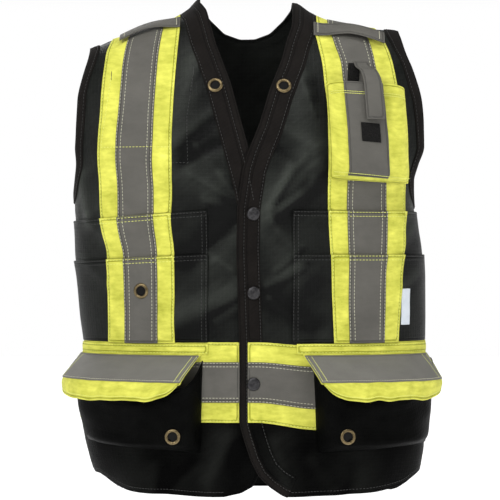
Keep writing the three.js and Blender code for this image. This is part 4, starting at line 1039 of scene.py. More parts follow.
def stripe_ring(name, column, face, low, high):
    """The outline of a stripe between two heights, each a number or a function of x."""
    z = np.linspace(pz(0.25), pz(1.02), 260)
    inner, outer = stripe_edges(name, column, z)
    if face < 0:
        band = neck_x(name, z) + SIDE[name] * (NECK_BAND + GAP)
        inner = SIDE[name] * np.maximum(SIDE[name] * inner, SIDE[name] * band)
    parts = []
    for x in (inner, outer):
        bottom = low(x) if callable(low) else low
        top = high(x) if callable(high) else high
        keep = (z > bottom) & (z < top)
        first = int(np.argmax(keep))
        xs, zs = x[keep], z[keep]
        if len(xs):
            xs = np.concatenate([[x[max(0, first - 1)]], xs])
            edge_z = bottom[max(0, first - 1)] if callable(low) else low
            zs = np.concatenate([[edge_z], zs])
            last = int(len(z) - 1 - np.argmax(keep[::-1]))
            end = min(len(z) - 1, last + 1)
            if callable(high) or high < pz(1.0):
                xs = np.concatenate([xs, [x[end]]])
                zs = np.concatenate([zs, [top[end] if callable(high) else high]])
        line = np.stack(to_cloth(xs, zs), -1)
        at_top = line[:, 1] >= top_at(line[:, 0]) - 0.01
        if at_top.any():
            line = line[: int(np.argmax(at_top)) + 1]
        parts.append(line)
    return np.concatenate([parts[0], parts[1][::-1]])


def puckered(amount=0.55):
    """Small sewing puckers beside the tape."""
    def lift(around, high, edge):
        wave = rumple(around * 0.35, high, 7, 11) + 0.6 * rumple(around * 0.4, high, 4, 5)
        return amount * wave * smooth(edge / 5) * 0.5 + 0.2
    return lift


def pocket_lip(name, height, reach=16.0, rise=1.7):
    """A pocket stands off a little along its open top edge."""
    def lift(around, high, edge):
        spot = body_form(-1, around, high)
        down = np.maximum(0, pocket_top(name, height, spot[:, 0]) - spot[:, 2])
        return rise * np.exp(-down / reach)
    return lift


def both(*lifts):
    return lambda a, s, e: sum(one(a, s, e) for one in lifts)


for name, side in SIDE.items():
    lapped = name == "left"
    high = pz(1.05)

    def upper_top(x, name=name):
        return pocket_top(name, UPPER_POCKET, x)

    def middle_top(x, name=name):
        return pocket_top(name, MIDDLE_POCKET, x)

    def tucked(x, top=upper_top):
        return top(x) - UNDERLAP

    cut_cloth(f"chest_lime_{name}_cloth", -1, stripe_ring(name, "lime", -1, tucked, high),
              layer_low(1), TRIM, LIME, [f"chest_lime_{name}"], lapped, lift=puckered())
    cut_cloth(f"chest_tape_{name}_cloth", -1, stripe_ring(name, "tape", -1, tucked, high),
              layer_low(2) + 0.2, TRIM, SILVER, [f"chest_tape_{name}"], lapped)
    cut_cloth(f"back_lime_{name}_cloth", 1, stripe_ring(name, "lime", 1, BAND_TOP - 1, high),
              layer_low(1), TRIM, LIME, [f"back_lime_{name}"], spacing=5.0, lift=puckered())
    cut_cloth(f"back_tape_{name}_cloth", 1, stripe_ring(name, "tape", 1, BAND_TOP - 1, high),
              layer_low(2) + 0.2, TRIM, SILVER, [f"back_tape_{name}"], spacing=5.0)
    for part, height, top_line, layer in (("upper", UPPER_POCKET, upper_top, 1),
                                          ("middle", MIDDLE_POCKET, middle_top, 2)):
        xs = side * np.linspace(POCKET_INSET, 300, 90)
        top = seen(np.stack([xs, top_line(xs)], -1))
        keep = np.abs(top[:, 0]) < ARC - 0.01
        end = np.array([[side * ARC, top[~keep][0, 1]]]) if (~keep).any() else top[-1:]
        low = np.array([[side * ARC, BAND_TOP + GAP]])
        inner = seen_steps([(side * POCKET_INSET, BAND_TOP + GAP),
                            (side * POCKET_INSET, float(top_line(xs[:1])[0]))])
        ring = np.concatenate([inner, top[keep], end, low])
        lip = pocket_lip(name, height)
        cut_cloth(f"{part}_pocket_{name}_cloth", -1, ring, layer_low(layer), TRIM, BLACK,
                  [f"{part}_pocket_{name}"], lapped, lift=lip, crown=0.2)
        stop = (lambda x: middle_top(x) - UNDERLAP) if part == "upper" else BAND_TOP - 1
        cut_cloth(f"{part}_pocket_lime_{name}_cloth", -1, stripe_ring(name, "lime", -1, stop, top_line),
                  layer_low(layer + 1) + 0.1, TRIM, LIME, [f"{part}_pocket_lime_{name}"], lapped,
                  lift=both(lip, puckered()))
        cut_cloth(f"{part}_pocket_tape_{name}_cloth", -1, stripe_ring(name, "tape", -1, stop, top_line),
                  layer_low(layer + 2) + 0.3, TRIM, SILVER, [f"{part}_pocket_tape_{name}"],
                  lapped, lift=lip)

lap_edge = px(-0.054) + PLACKET_EDGE
TAPE_TOP = BAND_MIDDLE - REST_HEIGHT + TAPE_WIDTH / 2
TAPE_LOW = BAND_MIDDLE - REST_HEIGHT - TAPE_WIDTH / 2


def band_dip(x, z):
    """The band's left front sags a little towards the pouch, more at its lower edge."""
    share = smooth((x - 8) / 78) * (1 - smooth((x - 110) / 80))
    return share * np.interp(z, [BAND_LOW, BAND_TOP], [9.5, 5.0])


def band_line(start, end, z):
    line = open_steps([(start, z), (end, z)], 4.0)
    line[:, 1] -= band_dip(line[:, 0], line[:, 1])
    return seen(line)


def band_ring(low, high, start, end, line=band_line):
    a = line(start, end, high)
    b = line(start, end, low)
    if abs(end) >= FAR:
        a = np.concatenate([a[np.abs(a[:, 0]) < ARC - 0.2], [[math.copysign(ARC, end), high]]])
        b = np.concatenate([b[np.abs(b[:, 0]) < ARC - 0.2], [[math.copysign(ARC, end), low]]])
    return np.concatenate([a, b[::-1]])


for part, low, high, layer, finish in (("lime", BAND_LOW, BAND_TOP, 1, LIME),
                                       ("tape", TAPE_LOW, TAPE_TOP, 2, SILVER)):
    lift = puckered() if part == "lime" else None
    extra = 0.0 if part == "lime" else 0.2
    cut_cloth(f"band_{part}_right_cloth", -1, band_ring(low, high, px(-0.054) - 0.6, -FAR),
              layer_low(layer) + extra, TRIM, finish, [f"band_{part}_right"], lift=lift)
    cut_cloth(f"band_{part}_left_cloth", -1, band_ring(low, high, lap_edge, FAR),
              layer_low(layer) + extra, TRIM, finish, [f"band_{part}_left"], lapped=True, lift=lift)
    ring = np.array([[-ARC, low], [ARC, low], [ARC, high], [-ARC, high]])
    cut_cloth(f"band_{part}_back_cloth", 1, ring, layer_low(layer) + extra, TRIM, finish,
              [f"band_{part}_back"], spacing=5.0, lift=lift)
WELTS = {"right": (0.226, 0.93), "left": (0.252, 0.95)}
for name, side in SIDE.items():
    start = side * px(WELTS[name][0])
    ring = band_ring(WELT_HIGH - WELT_HEIGHT, WELT_HIGH, start, side * FAR,
                     lambda a, b, z: seen_steps([(a, z), (b, z)], 4.0))
    cut_cloth(f"welt_{name}_cloth", -1, ring, layer_low(2) + 0.3, TRIM, LIME, [f"welt_{name}"],
              lapped=name == "left", crown=0.9, spacing=3.0, lift=puckered(0.8))

# Grid pieces: pockets, flaps and straps


def skin(x, z, lapped=False):
    around, high = to_cloth(x, z)
    return cloth_at(-1, around, high, 0.0, lapped)


def grid_piece(name, base, thick, finish, nodes, roll=0.3):
    """Cloth of even thickness over a grid of points, rows upward and columns to the wearer's left."""
    rows, cols = base.shape[:2]
    across = np.gradient(base, axis=1)
    up = np.gradient(base, axis=0)
    normal = unit(np.cross(across, up))
    outer = base + normal * thick
    step_u = np.linalg.norm(np.diff(base, axis=1), axis=2)
    step_v = np.linalg.norm(np.diff(base, axis=0), axis=2)
    long_u = np.concatenate([np.zeros((rows, 1)), np.cumsum(step_u, 1)], 1)
    long_v = np.concatenate([np.zeros((1, cols)), np.cumsum(step_v, 0)], 0)
    lay = np.stack([long_u, long_v], -1)
    edge = np.minimum(np.minimum(long_u, long_u[:, -1:] - long_u), np.minimum(long_v, long_v[-1:] - long_v))
    ids = np.arange(rows * cols).reshape(rows, cols)
    quads = np.stack([ids[:-1, :-1], ids[:-1, 1:], ids[1:, 1:], ids[1:, :-1]], -1).reshape(-1, 4)
    n = rows * cols
    faces = quads.tolist() + (quads[:, ::-1] + n).tolist()
    rim = np.concatenate([ids[0, :], ids[1:, -1], ids[-1, -2::-1], ids[-2:0:-1, 0]])
    middle = (outer + base) / 2
    out = np.zeros_like(base)
    out[0] -= unit(up[0])
    out[-1] += unit(up[-1])
    out[:, 0] -= unit(across[:, 0])
    out[:, -1] += unit(across[:, -1])
    bead = (middle + unit(out) * roll * max(1.0, thick)).reshape(-1, 3)[rim]
    m = len(rim)
    for i in range(m):
        j = (i + 1) % m
        faces.append([2 * n + i, 2 * n + j, int(rim[j]), int(rim[i])])
        faces.append([int(rim[i]) + n, int(rim[j]) + n, 2 * n + j, 2 * n + i])
    points = np.concatenate([outer.reshape(-1, 3), base.reshape(-1, 3), bead])
    lays = np.concatenate([lay.reshape(-1, 2), lay.reshape(-1, 2), lay.reshape(-1, 2)[rim]])
    edges = np.concatenate([edge.ravel(), edge.ravel(), np.zeros(m)])
    return add_piece(name, points, faces, finish, nodes, lays, edges)


radio_top = rise_of(BAND_TOP + UPPER_POCKET) + 0.245
radio_base = layer_top(2) + 2.2
RADIO_MIDDLE = Curve([0.0, 0.3, 0.6, 0.85, 1.0], [0.620, 0.627, 0.633, 0.634, 0.628])
RADIO_OUT = Curve([0.0, 0.3, 0.6, 0.85], [0.75, 0.90, 1.0, 1.0])


def radio_point(across, down, extra=0.0):
    middle = px(RADIO_MIDDLE(down))
    z = pz(radio_top) - RADIO_HEIGHT * down + 4 * (0.5 - across)
    x = middle + RADIO_WIDTH * (across - 0.5)
    side = 1 - np.abs(2 * across - 1) ** 7
    low = np.where(down < 0.85, 1.0, 1 - (np.clip((down - 0.85) / 0.15, 0, 1)) ** 3)
    spot, normal = skin(x, z, True)
    sag = 1.2 * rumple(across * 90, down * 118, 24, 9) * side
    out = radio_base + RADIO_DEPTH * side * low * RADIO_OUT(down) + extra + sag
    return spot + normal * out[..., None]


close = np.linspace(0, 0.05, 6)
u, v = np.meshgrid(np.concatenate([close[:-1], np.linspace(0.05, 0.95, 36), np.linspace(0.95, 1, 6)[1:]]),
                   np.linspace(1, 0, 44))
grid_piece("radio_pocket_cloth", radio_point(u, v), POUCH_WALL, LIME, ["radio_pocket"])
tape_half = TAPE_WIDTH * 0.94 / RADIO_WIDTH / 2
u, v = np.meshgrid(np.linspace(0.44 - tape_half, 0.44 + tape_half, 18), np.linspace(0.95, 0.0, 40))
grid_piece("radio_pocket_tape_cloth", radio_point(u, v, POUCH_WALL + 0.2), TRIM, SILVER,
           ["radio_pocket_tape"])

strap_middle = Curve([0, 0.10, 0.24, 0.45, 0.75, 1.0], [0.600, 0.606, 0.628, 0.638, 0.641, 0.643])
strap_out = Curve([0, 0.10, 0.24, 0.45, 0.75, 1.0], [0.0, 0.25, 0.70, 0.95, 1.0, 1.0])
strap_wide = Curve([0, 0.10, 0.24, 0.45, 0.75, 1.0], [0.80, 0.84, 0.92, 0.98, 1.0, 1.0])
strap_reach = radio_base + RADIO_DEPTH + POUCH_WALL + TRIM + 4 - layer_top(2) - 0.6


def strap_point(across, down, extra=0.0):
    middle = px(strap_middle(down))
    spot, normal = skin(middle, pz(0.862) - STRAP_LENGTH * down, True)
    out = layer_top(2) + 0.8 + strap_reach * strap_out(down) + extra
    point = spot + normal * out[..., None]
    point[..., 0] += STRAP_WIDTH * strap_wide(down) * (across - 0.5)
    point[..., 1] += 2 * (across - 0.5) + 0.6 * np.abs(2 * across - 1) ** 3
    return point


u, v = np.meshgrid(np.linspace(0, 1, 9), np.linspace(1, 0, 40))
grid_piece("radio_strap_cloth", strap_point(u, v), TRIM * 1.4, SILVER, ["radio_strap"])
u, v = np.meshgrid(np.linspace(-0.5, 0.5, 7), np.linspace(0.5, -0.5, 7))
across = 0.475 + PATCH_SIZE / RADIO_WIDTH * u
down = 0.52 + PATCH_SIZE / RADIO_HEIGHT * v
grid_piece("hook_patch_lower", radio_point(across, down, POUCH_WALL + TRIM + 0.5), TRIM, HOOK,
           ["hook_patch"])

POUCHES = {"right": (0.258, 1.08, 0.10, 0.065), "left": (0.345, 1.00, 0.06, 0.015)}


def pouch_point(name, across, down):
    inner_share, wide, lift, narrow = POUCHES[name]
    side = SIDE[name]
    bulge = 1 - np.where(across < 0.5, np.abs(2 * across - 1) ** 8, np.abs(2 * across - 1) ** 3)
    rim = POUCH_DEPTH * 1.1 * bulge
    top = POUCH_TOP - 2 * FLAP_ROOM - rim
    low = POUCH_TOP - POUCH_HEIGHT + lift * across * POUCH_HEIGHT
    z = top + (low - top) * down
    taper = 1 - 0.03 * down - narrow * down ** 1.5
    x = side * (px(inner_share) * (1 + 0.06 * down) + POUCH_WIDTH * wide * across * taper)
    floor = np.where(down < 0.84, 1.0, 1 - np.clip((down - 0.84) / 0.16, 0, 1) ** 2.6)
    held = np.sign(x) * np.minimum(np.abs(x), half_width_at(x, z) - 1)
    spot, normal = skin(held, z)
    u, v = across * 150, down * 120
    sag = (2.2 * rumple(u, v, 38, 4) + 1.1 * rumple(u, v, 17, 8)) * bulge
    sag = sag * smooth((1 - down) / 0.12)
    out = layer_top(2) - 1 + POUCH_DEPTH * bulge * floor * (0.86 + 0.14 * down) + sag
    point = spot + normal * out[..., None]
    point[..., 0] += side * 7.5 * smooth((across - 0.84) / 0.16) * (1 - down ** 2)
    return point


FLAPS = {"right": (0.264, 0.925, 0.35, 0.955), "left": (0.285, 0.955, 0.36, 0.97)}
FLAP_DOWN = [0.0, 0.08, 0.35, 0.62, 0.72, 0.86, 1.0]
FLAP_OUT = Curve(FLAP_DOWN, [0.0, 0.10, 0.50, 0.86, 0.97, 1.03, 1.03])
FLAP_DROP = Curve(FLAP_DOWN, [0.0, 0.06, 0.29, 0.54, 0.63, 0.82, 1.0])
FLAP_SPREAD = Curve(FLAP_DOWN, [0.0, 0.1, 0.5, 0.9, 1.0, 1.0, 1.0])
flap_fall = FLAP_TAPE * 0.76 + FLAP_BORDER


def flap_point(name, across, down, extra=0.0):
    inner0, outer0, inner1, outer1 = FLAPS[name]
    side = SIDE[name]
    spread = FLAP_SPREAD(down)
    inner = inner0 + (inner1 - inner0) * spread
    outer = outer0 + (outer1 - outer0) * spread
    inward = np.clip((0.30 - across) / 0.30, 0, 1) ** 2.2
    outward = np.clip((across - 0.78) / 0.22, 0, 1) ** 2.2
    below = smooth((down - 0.70) / 0.30)
    z = POUCH_TOP - flap_fall * FLAP_DROP(down) + (19 * inward + 11 * outward) * below
    x = side * px(inner + (outer - inner) * across)
    x = x + side * (4 * inward - 3 * outward) * below
    held = np.sign(x) * np.minimum(np.abs(x), half_width_at(x, z) - 1)
    ends = 1 - np.where(across < 0.5, 0.2, 0.52) * np.abs(2 * across - 1) ** 2.2
    out = FLAP_REACH * FLAP_OUT(down) * ends
    hang = smooth((down - 0.6) / 0.3)
    wave = hang * (1.5 * rumple(across * 150, down * 6, 16, 2 if side < 0 else 6)
                   + 0.8 * rumple(across * 150, down * 9, 7, 5))
    dent = 1.1 * rumple(across * 150, down * 60, 26, 12) * smooth(down / 0.3)
    spot, normal = skin(held, z)
    point = spot + normal * (layer_top(2) - 0.5 + out + extra + wave + dent)[..., None]
    point[..., 2] += hang * 1.2 * rumple(across * 150, np.zeros_like(across), 13, 3 if side < 0 else 8)
    return point


for name, side in SIDE.items():
    order = slice(None, None, -1) if side < 0 else slice(None)
    u, v = np.meshgrid(np.linspace(0, 1, 72)[order], np.linspace(1, 0, 48))
    # The pouches take the darker copy of the black: painted shade.
    grid_piece(f"pouch_{name}_cloth", pouch_point(name, u, v), POUCH_WALL, SHADED_BLACK, [f"pouch_{name}"])
    u, v = np.meshgrid(np.linspace(0, 1, 76)[order], np.linspace(1, 0, 40))
    grid_piece(f"flap_{name}_cloth", flap_point(name, u, v), FLAP_CLOTH, LIME, [f"flap_{name}"])
    # The flap tape takes the lighter copy of the silver: painted light.
    u, v = np.meshgrid(np.linspace(0.004, 0.996, 74)[order], np.linspace(0.70, 0.04, 28))
    grid_piece(f"flap_tape_{name}_cloth", flap_point(name, u, v, FLAP_CLOTH + 0.25), TRIM, LIT_FLAP_SILVER,
               [f"flap_tape_{name}"])

# Shoulder straps: start, end, and lean in degrees at both
SHOULDERS = {"right": (0.385, 0.720, 34, 14), "left": (0.350, 0.740, 50, 37)}


def strap_over(name, along, across, extra=0.0):
    start, end, lean_from, lean_to = SHOULDERS[name]
    x = SIDE[name] * px(start + (end - start) * along)
    around, _ = to_cloth(x, np.full_like(x, pz(0.94)))
    ridge = crest_at(around)
    turn = -np.radians(lean_from + (lean_to - lean_from) * along + 11 * np.abs(2 * along - 1) ** 1.5)
    lift = (layer_top(2) + 1.2 + extra) / np.cos(turn)
    lift = lift + (SHOULDER_STRAP_LIFT + 0.6) * np.sin(math.pi * along)
    turn = turn + SHOULDER_STRAP_WIDTH / SHOULDER_ROUND * (across - 0.5)
    rise = rise_of(ridge)
    depth = np.where(turn < 0, FRONT_DEPTH * DEPTH[-1](rise), BACK_DEPTH * DEPTH[1](rise))
    return np.stack([x, np.sin(turn) * depth, ridge - SHOULDER_ROUND * (1 - np.cos(turn)) + lift], -1)


for name, side in SIDE.items():
    order = slice(None, None, -1) if side < 0 else slice(None)
    u, v = np.meshgrid(np.linspace(0, 1, 36)[order], np.linspace(0, 1, 12))
    grid_piece(f"shoulder_strap_{name}_cloth", strap_over(name, u, v), TRIM * 1.4, SILVER,
               [f"shoulder_strap_{name}"])

# Hardware


def turned_piece(name, profile, spot, normal, finish, nodes, sides=40):
    """A round piece from a profile of radius and height, set on a spot along a direction."""
    profile = np.asarray(profile, float)
    normal = unit(np.asarray(normal, float))
    first = unit(np.cross(normal, [0.0, 0.0, 1.0]))
    second = np.cross(normal, first)
    turn = np.linspace(0, 2 * math.pi, sides, endpoint=False)
    ring = np.cos(turn)[:, None] * first + np.sin(turn)[:, None] * second
    points = spot + ring[:, None] * profile[None, :, :1] + normal * profile[None, :, 1:]
    count = len(profile)
    faces = []
    for i in range(sides):
        j = (i + 1) % sides
        for k in range(count - 1):
            faces.append((i * count + k, i * count + k + 1, j * count + k + 1, j * count + k))
    return add_piece(name, points.reshape(-1, 3), faces, finish, nodes)


# Profiles: radius and height
SNAP_CAP = [(0.0, 3.0), (2.2, 3.0), (2.6, 2.8), (3.0, 3.0), (4.4, 3.0), (5.8, 2.85), (6.9, 2.55),
            (7.7, 2.05), (8.25, 1.4), (8.5, 0.8), (8.3, 0.3), (7.6, 0.0), (7.6, -0.8)]
EYELET_RING = [(6.2, -1.2), (6.1, 0.2), (6.25, 0.9), (6.7, 1.45), (7.4, 1.7), (8.3, 1.65), (9.1, 1.3),
               (9.7, 0.75), (10.0, 0.2), (9.9, -0.5)]
EYELET_HOLE_SHADE = [(0.0, 0.05), (5.0, 0.05), (6.3, 0.1)]
snap_x = px(-0.062) + PLACKET * 0.66 + 0.6
for name, rise, layer in (("upper", 0.561, 1), ("middle", 0.404, 1), ("lower", 0.223, 2)):
    spot, normal = skin(np.array([snap_x]), np.array([pz(rise)]), True)
    base = spot[0] + normal[0] * (layer_top(layer) + 0.4)
    turned_piece(f"snap_{name}_cap", SNAP_CAP, base, normal[0], GUNMETAL, [f"snap_{name}"])


def set_eyelet(name, spot, normal):
    turned_piece(f"{name}_ring", EYELET_RING, spot, normal, BRASS, [name], 48)
    # The eyelet's hole is a flat disc of the black hook finish: a dark sheet of painted shade in place of
    # the shaded hole.
    turned_piece(f"{name}_well", EYELET_HOLE_SHADE, spot, normal, HOOK, [name], 32)


for name, x, rise, height, lapped in (("eyelet_neck_right", -0.189, 0.816, layer_top(1) + 0.4, False),
                                      ("eyelet_neck_left", 0.182, 0.813, layer_top(1) + 0.4, True),
                                      ("eyelet_middle_pocket", -0.582, 0.408, layer_top(4) + 0.6, False)):
    spot, normal = skin(np.array([px(x)]), np.array([pz(rise)]), lapped)
    set_eyelet(name, spot[0] + normal[0] * height, normal[0])
for name in SIDE:
    across = 0.189 if name == "right" else 0.215
    spot = pouch_point(name, np.array([across]), np.array([EYELET_DOWN]))[0]
    a = pouch_point(name, np.array([across + 0.06]), np.array([EYELET_DOWN]))[0] - spot
    b = pouch_point(name, np.array([across]), np.array([0.68]))[0] - spot
    normal = unit(np.cross(a, b))
    normal = -normal if normal[1] > 0 else normal
    set_eyelet(f"eyelet_pouch_{name}", spot + normal * (POUCH_WALL + 0.3), normal)

_, outer_edge = stripe_edges("left", "lime", pz(0.375))
label_from = float(outer_edge) + 1.5
label_top = pz(0.411)
ring = seen([(label_from, label_top), (label_from + 11, label_top), (label_from + 11, label_top - 46),
             (label_from, label_top - 46)])
cut_cloth("side_label_cloth", -1, ring, layer_low(3), 0.8, LABEL, ["side_label"], lapped=True, spacing=3.0)

hook_low, hook_high = pz(0.823), pz(0.860)
ring = seen([(125, hook_low), (139, hook_low), (140, hook_high), (126, hook_high)])
cut_cloth("hook_patch_upper", -1, ring, layer_low(3) + 0.4, TRIM, HOOK, ["radio_strap"],
          lapped=True, spacing=3.0)

# Stitches: grains of thread set on whatever cloth lies outermost

THREAD_ON = {"black_cloth": "black", "binding": "black", "lime_cloth": "lime", "silver_tape": "lime"}
PITCH = 4.4
GRAIN = 3.1
grains = {kind: [] for kind in THREADS}
corners, polys, owners = [], [], []
for name, (piece, slot) in PIECES.items():
    first = len(corners)
    corners += [v.co for v in piece.data.vertices]
    polys += [[first + v for v in face.vertices] for face in piece.data.polygons]
    owners += [name] * len(piece.data.polygons)
outermost = BVHTree.FromPolygons(corners, polys)


def spaced(line, pitch):
    """Even places along a line, each with the way that the line runs there."""
    line = np.asarray(line, float)
    run = np.concatenate([[0], np.cumsum(np.linalg.norm(np.diff(line, axis=0), axis=1))])
    at = np.arange(pitch / 2, run[-1], pitch)
    place = np.stack([np.interp(at, run, line[:, k]) for k in range(line.shape[1])], -1)
    ahead = np.stack([np.interp(at + 1, run, line[:, k]) for k in range(line.shape[1])], -1)
    behind = np.stack([np.interp(at - 1, run, line[:, k]) for k in range(line.shape[1])], -1)
    return place, ahead, behind


def sew(face, line, onto, kind=None, pitch=PITCH, length=GRAIN):
    """Stitches along a line on the flat cloth, only where a named piece lies outermost."""
    place, ahead, behind = spaced(line, pitch)
    if len(place) == 0:
        return
    spot, normal = cloth_at(face, place[:, 0], place[:, 1], 0.0, relief=False)
    along = unit(body_form(face, ahead[:, 0], ahead[:, 1]) - body_form(face, behind[:, 0], behind[:, 1]))
    for p, n, t in zip(spot, normal, along):
        hit, _, index, _ = outermost.ray_cast(Vector((p + n * 70) / 1000), Vector(-n), 0.09)
        if hit is None or not owners[index].startswith(onto):
            continue
        thread_kind = kind or THREAD_ON[PIECES[owners[index]][1]]
        grains[thread_kind].append((np.array(hit) * 1000, t, n, length))


def sew_on(points, across, kind, pitch=PITCH):
    """Stitches along points in space; a second line beside them gives the outward side."""
    place, ahead, behind = spaced(np.concatenate([points, across], -1), pitch)
    along = unit(ahead[:, :3] - behind[:, :3])
    out = unit(np.cross(along, place[:, 3:] - place[:, :3]))
    out = np.where(out[:, 1:2] > 0, -out, out)
    for p, t, n in zip(place[:, :3], along, out):
        grains[kind].append((p, t, n, GRAIN))


def below_top(line):
    return line[line[:, 1] < top_at(line[:, 0]) - 0.3]


def on_front(line):
    return line[np.abs(line[:, 0]) < ARC - 0.5]


def sew_stripes(name, side):
    """Two pale rows inside each tape edge, one lime row inside each lime edge, up to the shoulder line."""
    zs = np.linspace(BAND_TOP + 2, pz(1.0), 220)
    stems = ("chest", "back", "upper_pocket", "middle_pocket")
    for column, insets, kind in (("tape", (1.0, 6.5), "pale"), ("lime", (2.0,), "lime")):
        parts = tuple(f"{stem}_{column}_{name}" for stem in stems)
        inner, outer = stripe_edges(name, column, zs)
        for inset in insets:
            for x in (inner + side * inset, outer - side * inset):
                line = below_top(seen(np.stack([x, zs], -1)))
                over = np.concatenate([line, [[line[-1, 0], float(top_at(line[-1:, 0])[0])]]])
                for face in (-1, 1):
                    sew(face, over, parts, kind)


def sew_patch_pockets(name, side):
    """Double rows along the open tops and the inner edges."""
    for part, height in (("upper", UPPER_POCKET), ("middle", MIDDLE_POCKET)):
        xs = side * np.linspace(POCKET_INSET + 1, 300, 90)
        for down in (1.5, 6.5):
            line = seen(np.stack([xs, pocket_top(name, height, xs) - down], -1))
            sew(-1, on_front(line), f"{part}_pocket")
        for inset in (1.5, 7.0):
            x = side * (POCKET_INSET + inset)
            high = float(pocket_top(name, height, np.array([x]))[0]) - 2
            sew(-1, seen_steps([(x, BAND_TOP + 2), (x, high)]), f"{part}_pocket")


def sew_band_and_welt(name, side):
    end = side * 300
    start = lap_edge if side > 0 else px(-0.06)
    rows = [(BAND_TOP - 2, "lime"), (BAND_LOW + 2, "lime")]
    rows += [(level, "tape") for level in (TAPE_TOP - 1, TAPE_TOP - 5.5, TAPE_LOW + 1, TAPE_LOW + 5.5)]
    for level, part in rows:
        kind = "lime" if part == "lime" else "pale"
        sew(-1, on_front(band_line(start, end, level)), f"band_{part}", kind)
        sew(1, np.array([[0.0, level], [side * ARC, level]]), f"band_{part}", kind)
    for inset in (2.0, WELT_HEIGHT - 2.0):
        level = WELT_HIGH - inset
        line = seen_steps([(side * px(WELTS[name][0]), level), (end, level)], 4.0)
        sew(-1, on_front(line), "welt", "lime")


def sew_edges():
    """Black rows inside the back hem, the neck bands and the closure."""
    sew(1, np.array([[-ARC, pz(-0.002)], [ARC, pz(-0.002)]]), "back_cloth", "black")
    for inset in (8.5, NECK_BAND - 2):
        sew(-1, seen(beside(edge_right, -inset)), "neck", "black")
    for inset in (8.5, PLACKET - 1.5):
        sew(-1, seen(beside(edge_left, inset)), ("neck", "closure", "hem", "front"), "black")
    sew(1, seen(neck_back(8.5)), "neck", "black")


# The hidden chest pocket's outline on the right side: two rows, each from its bartack down
HIDDEN_POCKET = [[(-178, -75), (-184, -120), (-191, -167), (-100, -169)],
                 [(-72, -72), (-80, -130), (-79, -188), (-98, -188)]]


def sew_hidden_pocket():
    chest = ("front", "chest", "upper")
    for row in HIDDEN_POCKET:
        sew(-1, seen_steps(row), chest)
    for row in HIDDEN_POCKET:
        x, z = row[0]
        sew(-1, seen_steps([(x, z + 5), (x, z - 5)], 1.0), chest, "black", 0.8, 2.2)


def row_and_beside(place, count, low, high, held, extra, turned=False):
    """A row over a pocket or flap, at a held share, and the same row a little beside it."""
    shares = np.linspace(low, high, count)
    rows = []
    for shift in (0, BESIDE):
        still = np.full(count, held + shift)
        rows.append(place(shares, still, extra) if turned else place(still, shares, extra))
    return rows


def sew_flap_and_strap(name):
    def on_flap(across, down, extra):
        return flap_point(name, across, down, extra)

    def on_strap(along, across, extra):
        return strap_over(name, along, across, extra)

    on_tape = FLAP_CLOTH + 0.3 + TRIM
    for share in (0.018, 0.055, 0.945, 0.982):
        sew_on(*row_and_beside(on_flap, 40, 0.06, 0.66, share, on_tape), "lime")
    sew_on(*row_and_beside(on_flap, 80, 0.01, 0.99, 0.655, on_tape, True), "pale")
    sew_on(*row_and_beside(on_flap, 80, 0.01, 0.99, 0.94, FLAP_CLOTH + 0.05, True), "lime")
    for along in (0.06, 0.93):
        sew_on(*row_and_beside(on_strap, 12, 0.1, 0.9, along, TRIM * 1.4 + 0.1), "pale", 3.6)


for name, side in SIDE.items():
    sew_stripes(name, side)
    sew_patch_pockets(name, side)
    sew_band_and_welt(name, side)
    for face in (-1, 1):
        sew(face, arm_edge(name, face, ARM_BINDING - 1.5), "armhole", "black")
    sew(-1, hem_line(name, 6.0), "front", "black")
sew_edges()
sew_hidden_pocket()
for name in SIDE:
    sew_flap_and_strap(name)
for down in (0.105, 0.125, 0.925, 0.965):
    sew_on(*row_and_beside(radio_point, 60, 0.03, 0.97, down, POUCH_WALL + 0.3 + TRIM, True), "lime")

# A grain of thread: four rings of five corners, thin at both ends
GRAIN_STEPS = np.array([-1.0, -0.6, 0.6, 1.0])
GRAIN_SWELL = np.array([0.3, 1.0, 1.0, 0.3])
GRAIN_TURNS = np.linspace(0, 2 * math.pi, 5, endpoint=False)
GRAIN_HALF_WIDTH = 0.38
GRAIN_RISE = 0.34
GRAIN_FOOT = 0.10


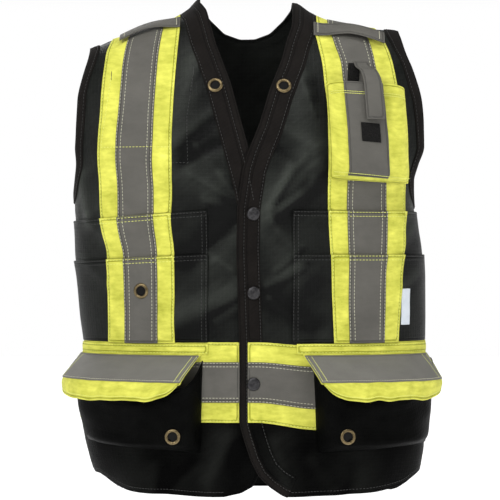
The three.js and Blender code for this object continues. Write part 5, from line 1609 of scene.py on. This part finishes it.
def grain_faces(first):
    rings, sides = len(GRAIN_STEPS), len(GRAIN_TURNS)
    faces = []
    for ring in range(rings - 1):
        low = first + ring * sides
        for k in range(sides):
            after = (k + 1) % sides
            faces.append([low + k, low + after, low + sides + after, low + sides + k])
    last = first + (rings - 1) * sides
    return faces + [[first + k for k in range(sides - 1, -1, -1)], [last + k for k in range(sides)]]


def thread_piece(kind, made):
    spot, along, normal = (np.array([g[k] for g in made]) for k in range(3))
    half = np.array([g[3] for g in made])[:, None, None, None] / 2
    across = unit(np.cross(normal, along))
    normal = unit(np.cross(along, across))
    swell = GRAIN_SWELL[None, :, None, None]
    wide = GRAIN_HALF_WIDTH * swell * np.cos(GRAIN_TURNS)[None, None, :, None]
    high = GRAIN_FOOT + GRAIN_RISE * swell * np.sin(GRAIN_TURNS)[None, None, :, None]
    points = (spot[:, None, None] + along[:, None, None] * GRAIN_STEPS[None, :, None, None] * half
              + across[:, None, None] * wide + normal[:, None, None] * high)
    count = len(GRAIN_STEPS) * len(GRAIN_TURNS)
    faces = [face for g in range(len(made)) for face in grain_faces(g * count)]
    add_piece(f"stitching_{kind}", points.reshape(-1, 3), faces, THREADS[kind], [])


for kind, made in grains.items():
    thread_piece(kind, made)

# Floor

floor_mesh = bpy.data.meshes.new("floor")
FLOOR_REACH = 20
FLOOR_LEVEL = -1.35
corners = [(x * FLOOR_REACH, y * FLOOR_REACH, FLOOR_LEVEL) for x, y in ((-1, -1), (1, -1), (1, 1), (-1, 1))]
floor_mesh.from_pydata(corners, [], [(0, 1, 2, 3)])
floor = bpy.data.objects.new("floor", floor_mesh)
floor_paint = bpy.data.materials.new("pale_floor")
floor_paint.use_nodes = True
floor_paint.node_tree.nodes["Principled BSDF"].inputs["Base Color"].default_value = (0.97, 0.97, 0.97, 1.0)
floor_paint.node_tree.nodes["Principled BSDF"].inputs["Emission Color"].default_value = (1.0, 1.0, 1.0, 1.0)
floor_paint.node_tree.nodes["Principled BSDF"].inputs["Emission Strength"].default_value = 0.8
floor_paint.node_tree.nodes["Principled BSDF"].inputs["Roughness"].default_value = 0.9
floor_mesh.materials.append(floor_paint)
scene.collection.objects.link(floor)
